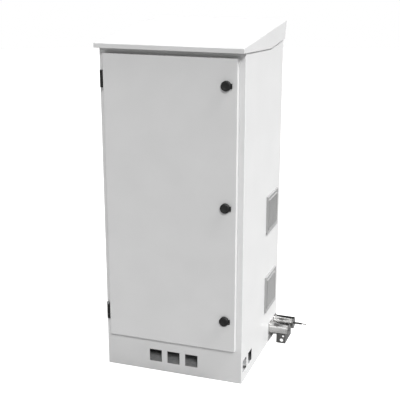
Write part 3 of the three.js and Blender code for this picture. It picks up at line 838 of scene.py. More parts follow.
@dataclass
class Enclosure:
    """The welded body, its plates, and the canopy over it."""

    edge: float = 0.6 * MM
    thin_edge: float = 0.4 * MM
    canopy_edge: float = 1.6 * MM
    screw_inset: float = 8 * MM
    stud_inset: float = 60 * MM
    stud_radius: float = 4.0 * MM
    stud_height: float = 23 * MM
    thread_pitch: float = 1.25 * MM
    threads: int = 16

    def build(self) -> None:
        """Dresses the sheet metal and adds the small fixings."""
        FoldShading.apply("body_shell", COAT)
        for node in ("floor_plate", "top_plate", "base_frame"):
            FoldShading.apply(node, COAT, self.edge)
        FoldShading.apply("base_plate", DECK_ZINC, self.edge)
        FoldShading.apply("roof_canopy", COAT, self.canopy_edge, 3)
        for side in Side:
            FoldShading.apply(f"roof_rail_{side.value}", COAT, self.thin_edge)
        FoldShading.apply("gland_plate", ZINC_SHEET, self.thin_edge)
        self.gland_plate_screws()
        self.earth_stud()

    def gland_plate_screws(self) -> None:
        """Eight screws round the gland plate."""
        plate = Extent.of("gland_plate")
        left, right = plate.low.x + self.screw_inset, plate.high.x - self.screw_inset
        near, far = plate.low.y + self.screw_inset, plate.high.y - self.screw_inset
        spots = [(x, y) for x in (left, plate.centre.x, right) for y in (near, far)]
        spots += [(x, plate.centre.y) for x in (left, right)]
        screws = [Solid.socket_screw(4 * MM, 2.6 * MM, 1.8 * MM).placed((x, y, plate.high.z))
                  for x, y in spots]
        make_piece("gland_plate_screws", screws, "cabinet", BRIGHT_ZINC)

    def earth_stud(self) -> None:
        """The threaded earth stud with its nut, upright on the floor plate."""
        floor = Extent.of("floor_plate")
        place = Vector((floor.low.x + self.stud_inset, floor.low.y + self.stud_inset,
                        floor.high.z))
        ridges = [(0.0, 0.0), (self.stud_radius, 0.0)]
        for turn in range(self.threads):
            base = 2 * MM + turn * self.thread_pitch
            ridges += [(self.stud_radius - 0.45 * MM, base), (self.stud_radius, base + 0.6 * MM)]
        ridges += [(self.stud_radius - 0.6 * MM, self.stud_height), (0.0, self.stud_height)]
        nut = Solid.hex_head(13 * MM, 6.5 * MM, 8 * MM).placed(place)
        make_piece("floor_earth_stud", [Solid.turned(ridges, 24).placed(place), nut], "cabinet",
                   BRIGHT_ZINC)


@dataclass
class CableGlands:
    """Two open cable glands: hexagon collar, domed cap nut with grip ribs, and a seal."""

    ribs: int = 24
    rib: float = 1.1 * MM
    threads: int = 8
    thread_root: float = 19.2 * MM
    thread_crest: float = 19.9 * MM
    bore: float = 13.2 * MM

    def build(self) -> None:
        """Models both glands again round their bores."""
        for side in Side:
            self.gland(side.value)

    def gland(self, side: str) -> None:
        """One gland.

        Args:
            side: left or right.
        """
        box = Extent.of(f"cable_gland_{side}")
        plate = Extent.of("gland_plate")
        rise = box.high.z - plate.high.z
        hexagon = Solid.turned(in_mm((13, 0), (26, 0), (26, 9), (13, 9)), 6).softened(1.2 * MM)
        nut = Solid.turned(self.cap_profile(rise), 48)
        top = Vector((box.centre.x, box.centre.y, plate.high.z))
        foot = Vector((box.centre.x, box.centre.y, box.low.z))
        upper = [part.placed(top) for part in (hexagon, nut, *self.grip_ribs())]
        upper.append(Solid.turned(self.neck_profile(top.z - foot.z), 40).placed(foot))
        make_piece(f"gland_{side}_moulding", upper, "cabinet", BLACK_PLASTIC,
                   (f"cable_gland_{side}",))
        seal = [*in_mm((13.2, 6), (16, 6)), (16 * MM, rise - 3 * MM),
                (15.2 * MM, rise - 2 * MM), (13.6 * MM, rise - 2.4 * MM)]
        make_piece(f"gland_{side}_seal", [Solid.turned(seal, 40).placed(top)], "cabinet",
                   SLEEVE_RUBBER)

    def grip_ribs(self) -> list[Solid]:
        """The upright ribs round the cap nut.

        Returns:
            One solid for each rib, with z = 0 on the plate.
        """
        made = []
        for index in range(self.ribs):
            bar = Solid.block((21.6 * MM, -self.rib, 11 * MM), (22.9 * MM, self.rib, 20 * MM),
                              0.4 * MM, 1)
            made.append(bar.moved(Matrix.Rotation(math.tau * index / self.ribs, 4, "Z")))
        return made

    def cap_profile(self, rise: float) -> Profile:
        """The section of the domed cap nut.

        Args:
            rise: height of the gland above its plate.

        Returns:
            A closed section.
        """
        dome = in_mm((15.8, 9.5), (22, 9.5), (22, 20), (21.3, 23), (19.6, 26), (17.2, 28.2))
        return [*dome, (16 * MM, rise), (14.6 * MM, rise), (15.8 * MM, rise - 3 * MM)]

    def neck_profile(self, length: float) -> Profile:
        """The threaded neck below the plate.

        Args:
            length: from its lowest edge to the plate's upper face.

        Returns:
            A closed section with rounded threads.
        """
        root, crest = self.thread_root, self.thread_crest
        outside: Profile = [(root, 0.0)]
        pitch = (length - 3 * MM) / self.threads
        for turn in range(self.threads):
            outside += [(crest, (turn + 0.5) * pitch), (root, (turn + 1.0) * pitch)]
        return [(self.bore, 0.0), *outside, (root, length), (self.bore, length)]


@dataclass
class Door:
    """The folded door pan with its seal, stiffening channels and spot welds."""

    fold_radius: float = 1.7 * MM
    channel_edge: float = 0.5 * MM
    seal_width: float = 14 * MM
    weld_pitch: float = 93 * MM
    weld_radius: float = 2.6 * MM
    weld_inset: float = 6.5 * MM
    brim: float = 1.5 * MM
    sheet: float = 2 * MM
    stud_inset: float = 60 * MM

    def build(self) -> None:
        """Dresses the sheet metal and adds the seal and welds."""
        FoldShading.apply("door_panel", COAT, self.fold_radius, 3)
        for side in Side:
            FoldShading.apply(f"door_stiffener_{side.value}", COAT, self.channel_edge)
        self.seal()
        self.spot_welds()
        self.earth_stud()

    def seal(self) -> None:
        """The foam seal: a square ring with a domed face and two shallow grooves."""
        box = Extent.of("door_gasket")
        half = box.size / 2
        depth = box.size.y
        inner = half.x - self.seal_width
        section = [(inner, 0.0), (half.x, 0.0), (half.x, depth * 0.72)]
        for inset, share in ((1.4, 0.94), (4.2, 1.0), (6.2, 0.9), (7.8, 0.9), (9.8, 1.0),
                             (12.6, 0.94)):
            section.append((half.x - inset * MM, depth * share))
        ring = Solid.square_ring([*section, (inner, depth * 0.72)])
        for vert in ring.mesh.verts:
            vert.co.y += math.copysign(half.z - half.x, vert.co.y)
        ring.placed((box.centre.x, box.low.y, box.centre.z), Facing.REAR)
        make_piece("door_foam_seal", [ring], "door", GASKET_FOAM, ("door_gasket",))

    def spot_welds(self) -> None:
        """Small dimples where the stiffeners are welded to the door sheet."""
        dots = []
        radius = self.weld_radius
        section = [(0, 0), (radius, 0), (radius * 0.8, 0.35 * MM), (radius * 0.4, 0.2 * MM),
                   (0, 0.15 * MM)]
        for side in Side:
            box = Extent.of(f"door_stiffener_{side.value}")
            count = int(box.size.z / self.weld_pitch)
            start = box.centre.z - (count - 1) * self.weld_pitch / 2
            for edge in (box.low.x + self.weld_inset, box.high.x - self.weld_inset):
                for row in range(count):
                    place = (edge, box.low.y + self.brim, start + row * self.weld_pitch)
                    dots.append(Solid.turned(section, 14).placed(place, Facing.REAR))
        make_piece("door_spot_welds", dots, "door", COAT)

    def earth_stud(self) -> None:
        """The earth stud with nut and washer low inside the door."""
        panel = Extent.of("door_panel")
        place = (panel.low.x + self.stud_inset, panel.low.y + self.sheet,
                 panel.low.z + self.stud_inset)
        stud = Solid.turned(in_mm((0, 0), (3, 0), (3, 12.4), (2.3, 13), (0, 13)), 20)
        nut = Solid.hex_head(10 * MM, 4.6 * MM, 6.5 * MM)
        parts = [shape.placed(place, Facing.REAR) for shape in (stud, nut)]
        make_piece("door_earth_stud", parts, "door", BRIGHT_ZINC)


@dataclass
class Hinge:
    """One lift-off hinge: two moulded leaves on a steel pin."""

    place: str
    knuckle: float = 7.6 * MM
    bore: float = 2.6 * MM
    chamfer: float = 0.8 * MM
    flare: float = 1.8 * MM
    gap: float = 0.6 * MM
    web_edge: float = 0.6 * MM
    lug: float = 6 * MM
    pin_head: float = 3.6 * MM

    def build(self) -> None:
        """Models both leaves and the pin."""
        body_box = Extent.of(f"hinge_{self.place}_body_leaf")
        door_box = Extent.of(f"hinge_{self.place}_door_leaf")
        pin_box = Extent.of(f"hinge_{self.place}_pin")
        axis = Vector((pin_box.centre.x, pin_box.centre.y, 0))
        self.body_leaf(body_box, door_box, axis)
        self.door_leaf(door_box, axis)
        self.pin(pin_box, axis, door_box.high.z, body_box.low.z)

    def knuckle_solid(self, low: float, high: float, axis: Vector) -> Solid:
        """A bored knuckle with chamfered ends.

        Args:
            low: its lower end.
            high: its upper end.
            axis: the pin's place in plan.

        Returns:
            The knuckle.
        """
        length = high - low
        section = [(self.bore, 0), (self.knuckle - self.chamfer, 0), (self.knuckle, self.chamfer),
                   (self.knuckle, length - self.chamfer), (self.knuckle - self.chamfer, length),
                   (self.bore, length)]
        return Solid.turned(section, 40).placed((axis.x, axis.y, low))

    def body_leaf(self, box: Extent, door_box: Extent, axis: Vector) -> None:
        """The lower knuckle, its web and the plate on the body.

        Args:
            box: the leaf's box.
            door_box: the other leaf's box.
            axis: the pin's place in plan.
        """
        split = door_box.low.z - self.gap
        web_inner = axis.y + self.bore + self.gap
        parts = [
            self.knuckle_solid(box.low.z, split, axis),
            Solid.block((axis.x - self.knuckle, web_inner, box.low.z + 0.5 * MM),
                        (axis.x + self.knuckle - 0.3 * MM, box.high.y - 3 * MM, split - 0.5 * MM),
                        self.web_edge),
            Solid.block((box.low.x - self.flare, box.high.y - 4 * MM, box.low.z),
                        (box.high.x, box.high.y, box.high.z - self.flare), 1.0 * MM, 3),
        ]
        make_piece(f"hinge_{self.place}_body_moulding", parts, "cabinet", BLACK_PLASTIC,
                   (f"hinge_{self.place}_body_leaf",))

    def door_leaf(self, box: Extent, axis: Vector) -> None:
        """The upper knuckle and its lug on the door's edge.

        Args:
            box: the leaf's box.
            axis: the pin's place in plan.
        """
        web = Solid.block(
            (axis.x + self.bore + self.gap, axis.y - self.lug, box.low.z + 0.4 * MM),
            (box.high.x, axis.y + self.lug, box.high.z - 0.4 * MM), self.web_edge)
        parts = [self.knuckle_solid(box.low.z, box.high.z, axis), web]
        make_piece(f"hinge_{self.place}_door_moulding", parts, "door", BLACK_PLASTIC,
                   (f"hinge_{self.place}_door_leaf",))

    def pin(self, box: Extent, axis: Vector, top: float, bottom: float) -> None:
        """The pin with a low domed head at each end.

        Args:
            box: the pin's box.
            axis: its place in plan.
            top: upper end of the knuckles.
            bottom: lower end of the knuckles.
        """
        radius = box.size.x / 2
        head = self.pin_head
        dome = [(head, 0.0), (head, 0.2 * MM), (head * 0.6, 1.2 * MM), (0.0, 1.4 * MM)]
        section = [(across, bottom - rise) for across, rise in reversed(dome)]
        section += [(radius, bottom), (radius, top)]
        section += [(across, top + rise) for across, rise in dome]
        made = Solid.turned(section, 28).placed((axis.x, axis.y, 0))
        make_piece(f"hinge_{self.place}_steel_pin", [made], "cabinet", BRIGHT_ZINC,
                   (f"hinge_{self.place}_pin",))


@dataclass
class QuarterTurnLock:
    """One lock: housing, dust cap on its side hinge, barrel, nut and cam."""

    place: str
    facets: int = 64
    flange: float = 5 * MM
    neck: float = 10.9 * MM
    bore: float = 7.25 * MM
    skin: float = 3 * MM
    eye: float = 2.2 * MM
    eye_bore: float = 1.2 * MM
    eye_height: float = 10 * MM
    arm: float = 4.4 * MM
    pin: float = 1.0 * MM
    pin_length: float = 16 * MM

    def build(self) -> None:
        """Models the visible mouldings and dresses the working parts."""
        housing = Extent.of(f"lock_{self.place}_housing")
        cap = Extent.of(f"lock_{self.place}_cap")
        nut = Extent.of(f"lock_{self.place}_nut")
        centre = Vector((nut.centre.x, 0, nut.centre.z))
        radius = centre.x - cap.low.x
        hinge_x = cap.high.x - self.eye
        self.housing(housing, centre, radius, hinge_x)
        self.cap(cap, centre, radius, hinge_x)
        self.cam_bolt(centre)
        for part, edge in (("nut", 0.7), ("barrel", 0.25), ("cam", 0.4)):
            FoldShading.apply(f"lock_{self.place}_{part}", BRIGHT_ZINC, edge * MM)

    def housing(self, box: Extent, centre: Vector, radius: float, hinge_x: float) -> None:
        """The round flange with its bored boss, and one hinge eye.

        Args:
            box: the housing's box.
            centre: the lock's axis.
            radius: radius of the flange.
            hinge_x: the cap hinge's place.
        """
        face = Extent.of("door_panel").low.y
        front, rise = face - self.flange, self.flange
        length = box.high.y - face
        section = [(self.bore, -length), (self.neck, -length), (self.neck, 0), (radius, 0),
                   (radius, rise - 1.4 * MM), (radius - 0.5 * MM, rise - 0.4 * MM),
                   (radius - 1.4 * MM, rise), (self.bore, rise)]
        barrel = Solid.turned(section, self.facets)
        barrel.placed((centre.x, face, centre.z), Facing.FRONT)
        half = self.eye_height / 2
        lug = Solid.block((centre.x + 12 * MM, front, centre.z - half),
                          (hinge_x, face - 0.5 * MM, centre.z + half), 0.5 * MM)
        eye = Solid.turned([(self.eye_bore, 0), (self.eye, 0), (self.eye, self.eye_height),
                            (self.eye_bore, self.eye_height)], 28)
        eye.placed((hinge_x, front - 0.5 * MM, centre.z - half))
        make_piece(f"lock_{self.place}_flange", [barrel, lug, eye], "door", BLACK_PLASTIC,
                   (f"lock_{self.place}_housing",))

    def cap(self, box: Extent, centre: Vector, radius: float, hinge_x: float) -> None:
        """The dust cap: a hollow disc with a rounded rim, two hinge arms and a pin.

        Args:
            box: the cap's box.
            centre: the lock's axis.
            radius: radius of the disc.
            hinge_x: the cap hinge's place.
        """
        back = Extent.of("door_panel").low.y - self.flange - 0.3 * MM
        front, rise = box.low.y, back - box.low.y
        inner = radius - self.skin
        section = [(0, rise - 3.4 * MM), (inner, rise - 3.4 * MM), (inner, 0), (radius, 0)]
        for inset, drop in ((0, 3.2), (0.5, 1.5), (1.7, 0.4), (3.4, 0), (5.6, 0.1), (6.4, 0.7)):
            section.append((radius - inset * MM, rise - drop * MM))
        section.append((0, rise - 0.7 * MM))
        disc = Solid.turned(section, self.facets).placed((centre.x, back, centre.z), Facing.FRONT)
        eye_y = back - 0.2 * MM
        root = centre.x + 14 * MM
        outline = [(root, front + 2.2 * MM), (hinge_x - 2 * MM, front + 3.6 * MM),
                   (hinge_x + 1.2 * MM, front + 5.4 * MM), (hinge_x + self.eye, front + 7.6 * MM),
                   (hinge_x + self.eye, eye_y), (hinge_x + 1.2 * MM, eye_y + 1.4 * MM),
                   (hinge_x, back), (root, back)]
        parts = [disc]
        for side in (-1, 1):
            low = centre.z + side * 7.6 * MM - self.arm / 2
            arm = Solid.prism(outline, self.arm).softened(0.5 * MM, 2, 50)
            eye = Solid.turned([(0, 0), (self.eye, 0), (self.eye, self.arm), (0, self.arm)], 28)
            parts += [arm.placed((0, 0, low)), eye.placed((hinge_x, eye_y, low))]
        web = Solid.block((centre.x + 15 * MM, front + 3.4 * MM, centre.z - 6 * MM),
                          (hinge_x - 3.6 * MM, back, centre.z + 6 * MM), 0.4 * MM)
        pin = Solid.turned([(0, 0), (self.pin, 0), (self.pin, self.pin_length),
                            (0, self.pin_length)], 16)
        parts += [web, pin.placed((hinge_x, eye_y, centre.z - self.pin_length / 2))]
        make_piece(f"lock_{self.place}_dust_cover", parts, f"lock_{self.place}_dust_cap",
                   BLACK_PLASTIC, (f"lock_{self.place}_cap",))

    def cam_bolt(self, centre: Vector) -> None:
        """The bolt and washer that hold the cam on the barrel's drive.

        Args:
            centre: the lock's axis.
        """
        cam = Extent.of(f"lock_{self.place}_cam")
        bolt = Solid.hex_head(10 * MM, 4.2 * MM, 7 * MM)
        bolt.placed((centre.x, cam.high.y, centre.z), Facing.REAR)
        make_piece(f"lock_{self.place}_cam_bolt", [bolt], f"lock_{self.place}_core", BRIGHT_ZINC)


@dataclass
class FilterVent:
    """One filter vent: a dished cover with a raised rim and fine louvres, its base and mat."""

    place: str
    slats: int = 21
    field: float = 64 * MM
    rim: float = 1.5 * MM
    dish: float = 3.2 * MM
    crest: float = 1.8 * MM
    wall: float = 2.5 * MM
    slat_drop: float = 1.5 * MM
    slat_thickness: float = 1.9 * MM
    bar_half_width: float = 0.9 * MM

    def build(self) -> None:
        """Models the cover and dresses the base and mat."""
        box = Extent.of(f"vent_{self.place}_cover")
        make_piece(f"vent_{self.place}_cover_frame", [self.frame_ring(box)], "cabinet",
                   GREY_PLASTIC, (f"vent_{self.place}_cover",))
        grille = [*self.louvres(box), *self.bars(box)]
        # The slats and bars take the darker grille grey: painted shade between the slats, not a
        # second plastic.
        make_piece(f"vent_{self.place}_louvres", grille, "cabinet", SHADED_GRILLE_PLASTIC)
        FoldShading.apply(f"vent_{self.place}_base", GREY_PLASTIC, 0.5 * MM)
        FoldShading.apply(f"vent_{self.place}_filter_mat", FIBRE)

    def frame_ring(self, box: Extent) -> Solid:
        """The square frame: a thin outer edge, a dished face, and a raised rim round the louvres.

        Args:
            box: the cover's box.

        Returns:
            The frame.
        """
        half = box.size.z / 2
        rise = box.size.x - self.crest
        edge = self.field + self.rim
        top = box.size.x
        section = [(half, 0), (half, rise - 1.1 * MM), (half - 0.3 * MM, rise - 0.4 * MM),
                   (half - 1.0 * MM, rise), (half - 1.6 * MM, rise - 0.1 * MM), (edge, self.dish),
                   (edge, top - 0.5 * MM), (edge - 0.5 * MM, top), (self.field + 0.4 * MM, top),
                   (self.field, top - 0.4 * MM), (self.field, 1.8 * MM),
                   (half - self.wall, 1.8 * MM), (half - self.wall, 0)]
        return Solid.square_ring(section).placed(box.inner, Facing.RIGHT)

    def louvres(self, box: Extent) -> list[Solid]:
        """The row of sloping slats, each with a rounded front edge.

        Args:
            box: the cover's box.

        Returns:
            One solid for each slat.
        """
        pitch = 2 * self.field / self.slats
        back = 2.0 * MM
        front = box.size.x - 0.4 * MM
        length = 2 * self.field + 2 * MM
        thick = self.slat_thickness
        # The outline's x runs out of the wall and its y runs up; the prism runs along the wall.
        turn = Matrix(((1, 0, 0, box.low.x), (0, 0, 1, box.centre.y - length / 2),
                       (0, 1, 0, box.centre.z), (0, 0, 0, 1)))
        made = []
        for row in range(self.slats):
            top = self.field - (row + 0.3) * pitch
            nose = top - self.slat_drop
            outline = [(back, top), (back, top - thick), (front - 0.5 * MM, nose - thick),
                       (front, nose - thick * 0.8), (front, nose - thick * 0.25),
                       (front - 0.5 * MM, nose + 0.1 * MM)]
            made.append(Solid.prism(outline, length).moved(turn))
        return made

    def bars(self, box: Extent) -> list[Solid]:
        """Three upright bars behind the slats.

        Args:
            box: the cover's box.

        Returns:
            The bars.
        """
        made = []
        half, reach = self.bar_half_width, self.field + MM
        for step in (-1, 0, 1):
            y = box.centre.y + step * self.field / 2
            made.append(Solid.block((box.low.x + 1.9 * MM, y - half, box.centre.z - reach),
                                    (box.low.x + 3.2 * MM, y + half, box.centre.z + reach)))
        return made


@dataclass
class Fan:
    """The axial fan behind the lower vent."""

    blades: int = 7
    hub: float = 21 * MM
    tip: float = 53 * MM
    root_pitch: float = 56.0
    tip_pitch: float = 40.0
    camber: float = 2.5 * MM
    blade_thickness: float = 1.4 * MM
    screw_inset: float = 7 * MM

    def build(self) -> None:
        """Dresses the housing, models the impeller and adds the corner screws."""
        FoldShading.apply("fan_housing", BLACK_PLASTIC, 0.6 * MM)
        self.impeller()
        self.screws()

    def impeller(self) -> None:
        """The hub with cambered blades."""
        box = Extent.of("fan_impeller")
        depth = box.size.x
        hub = Solid.turned([(0, 0), (self.hub - 1.5 * MM, 0), (self.hub, 1.5 * MM),
                            (self.hub, depth - 3 * MM), (self.hub - 3 * MM, depth), (0, depth)],
                           40)
        parts = [hub.placed(box.inner, Facing.RIGHT)]
        place = Matrix.Translation(box.centre)
        for index in range(self.blades):
            turn = Matrix.Rotation(math.tau * index / self.blades, 4, "X")
            parts.append(self.blade(depth).moved(place @ turn))
        make_piece("fan_cambered_impeller", parts, "fan_rotor", BLACK_PLASTIC,
                   ("fan_impeller",))

    def blade(self, depth: float) -> Solid:
        """One blade along +Z from the hub, cambered across its chord and twisted to its tip.

        Args:
            depth: axial depth of the impeller.

        Returns:
            The blade, centred on the impeller's middle.
        """
        mesh = bmesh.new()
        bmesh.ops.create_grid(mesh, x_segments=8, y_segments=8, size=1.0)
        root = self.hub - 2 * MM
        limit = depth / 2 - 1.5 * MM
        for vert in mesh.verts:
            chord, radial = vert.co.x, (vert.co.y + 1) / 2
            reach = root + radial * (self.tip - root)
            pitch = math.radians(self.root_pitch + radial * (self.tip_pitch - self.root_pitch))
            along = chord * (13 + 3 * radial) * MM
            camber = (1 - chord * chord) * self.camber
            x = along * math.cos(pitch) + camber * math.sin(pitch)
            y = -along * math.sin(pitch) + camber * math.cos(pitch)
            z = math.sqrt(max(reach * reach - y * y, 1e-6))
            vert.co = Vector((max(-limit, min(limit, x)), y, z))
        bmesh.ops.solidify(mesh, geom=list(mesh.faces), thickness=self.blade_thickness)
        return Solid(mesh)

    def screws(self) -> None:
        """Four screws that hold the housing on the vent's base."""
        box = Extent.of("fan_housing")
        inset = self.screw_inset
        heads = []
        for y in (box.low.y + inset, box.high.y - inset):
            for z in (box.low.z + inset, box.high.z - inset):
                heads.append(Solid.socket_screw(3.8 * MM, 2.4 * MM, 1.6 * MM)
                             .placed((box.low.x, y, z), Facing.LEFT))
        make_piece("fan_housing_screws", heads, "cabinet", BRIGHT_ZINC)


@dataclass
class SideFittings:
    """The stainless fittings: two sleeves on a wall plate, a bent foot and an insulated stud."""

    radius: float = 27 * MM
    wall: float = 3 * MM
    steps: int = 96
    plate_edge: float = 0.5 * MM
    thread_pitch: float = 0.9 * MM
    tube_swell: float = 0.4 * MM
    weld_leg: float = 1.3 * MM
    weld_steps: int = 180
    ripples: int = 60
    ripple_height: float = 0.22 * MM

    def build(self) -> None:
        """Models the turned parts and welds, and dresses the plates."""
        FoldShading.apply("fitting_wall_plate", PLATE_STEEL, self.plate_edge)
        FoldShading.apply("fitting_foot_bracket", BRUSHED_STEEL, self.plate_edge)
        for which, bore in (("front", 8 * MM), ("rear", 2.9 * MM)):
            sleeve = Extent.of(f"fitting_{which}_sleeve")
            cap = Extent.of(f"fitting_{which}_cap")
            self.sleeve(which, sleeve)
            self.cap(which, sleeve, cap, bore)
        self.stud()
        self.welds()

    def sleeve(self, which: str, box: Extent) -> None:
        """One thin-walled sleeve with a shallow turned groove near its outer end.

        Args:
            which: front or rear.
            box: the sleeve's box.
        """
        length = box.size.x
        outer, inner = self.radius, self.radius - self.wall
        groove, cut = length - 5 * MM, outer - 0.5 * MM
        section = [(inner, 0), (outer, 0), (outer, groove - 1.2 * MM), (cut, groove - 0.8 * MM),
                   (cut, groove + 0.8 * MM), (outer, groove + 1.2 * MM),
                   (outer, length - 0.6 * MM), (outer - 0.6 * MM, length), (inner, length)]
        made = Solid.turned(section, self.steps).placed(box.inner, Facing.RIGHT)
        make_piece(f"fitting_{which}_turned_sleeve", [made], "cabinet", TURNED_STEEL,
                   (f"fitting_{which}_sleeve",))

    def cap(self, which: str, sleeve: Extent, box: Extent, bore: float) -> None:
        """The end cap: a rim that closes the sleeve, turned down inside it.

        Args:
            which: front or rear.
            sleeve: the sleeve's box.
            box: the cap's box.
            bore: radius of the hole in its middle.
        """
        back = box.low.x - sleeve.high.x
        rim = box.high.x - sleeve.high.x
        outer, inner = self.radius, self.radius - self.wall - 0.3 * MM
        section = [(bore, back), (inner, back), (inner, 0.2 * MM), (outer, 0.2 * MM),
                   (outer, rim - 0.9 * MM), (outer - 0.9 * MM, rim), (bore + 6 * MM, rim),
                   (bore + 5.4 * MM, rim - 0.6 * MM), (bore + 0.6 * MM, rim - 0.6 * MM),
                   (bore, rim - 1.2 * MM)]
        made = Solid.turned(section, self.steps)
        made.placed((sleeve.high.x, sleeve.centre.y, sleeve.centre.z), Facing.RIGHT)
        make_piece(f"fitting_{which}_turned_cap", [made], "cabinet", CAP_STEEL,
                   (f"fitting_{which}_cap",))

    def stud(self) -> None:
        """The threaded stud and the rubber tube over its inner half."""
        stud = Extent.of("terminal_stud")
        tube = Extent.of("terminal_stud_insulator")
        radius = stud.size.z / 2
        pitch = self.thread_pitch
        start = tube.high.x - stud.low.x - 6 * MM
        count = int((stud.size.x - start - 1.5 * MM) / pitch)
        section: Profile = [(0, 0), (radius - 0.3 * MM, 0), (radius - 0.3 * MM, start)]
        for turn in range(count):
            base = start + turn * pitch
            section += [(radius, base + pitch * 0.5), (radius - 0.35 * MM, base + pitch)]
        section += [(radius - 0.8 * MM, stud.size.x), (0, stud.size.x)]
        made = Solid.turned(section, 24).placed(stud.inner, Facing.RIGHT)
        make_piece("terminal_threaded_stud", [made], "cabinet", TURNED_STEEL,
                   ("terminal_stud",))
        bore, outer = radius + 0.2 * MM, tube.size.z / 2
        skin = [(bore, 0)]
        for swell, share in ((1, 0), (1, 0.3), (0.7, 0.34), (0.5, 0.85), (0, 1)):
            skin.append((outer + swell * self.tube_swell, tube.size.x * share))
        skin.append((bore, tube.size.x))
        cover = Solid.turned(skin, 28).placed(tube.inner, Facing.RIGHT)
        make_piece("terminal_stud_sheath", [cover], "cabinet", SLEEVE_RUBBER,
                   ("terminal_stud_insulator",))

    def welds(self) -> None:
        """Rippled fillet beads round the sleeves' feet."""
        face = Extent.of("fitting_wall_plate").high.x
        beads = []
        for which in ("front", "rear"):
            middle = Extent.of(f"fitting_{which}_sleeve").centre
            beads.append(self.bead(Vector((face, middle.y, middle.z))))
        # The beads' darker steel is partly painted shade where each sleeve meets the plate.
        make_piece("fitting_weld_beads", beads, "cabinet", WELD_STEEL_AND_SHADE)

    def bead(self, centre: Vector) -> Solid:
        """A rippled bead on a circle round a sleeve.

        Args:
            centre: the circle's centre on the plate's face.

        Returns:
            The bead.
        """
        leg, foot = self.weld_leg, self.radius - 0.3 * MM
        section = [(foot, -0.2 * MM), (self.radius + leg, -0.2 * MM),
                   (self.radius + leg * 0.8, leg * 0.35), (self.radius + leg * 0.35, leg * 0.8),
                   (foot, leg)]
        ring = Solid.turned(section, self.weld_steps)
        for vert in ring.mesh.verts:
            out = Vector((vert.co.x, vert.co.y, 0))
            if vert.co.z > 0 and out.length > self.radius:
                angle = math.atan2(vert.co.y, vert.co.x)
                wave = 0.5 + 0.5 * math.cos(angle * self.ripples)
                outward = out.normalized() + Vector((0, 0, 1))
                vert.co += outward * (self.ripple_height * wave)
        return ring.placed(centre, Facing.RIGHT)


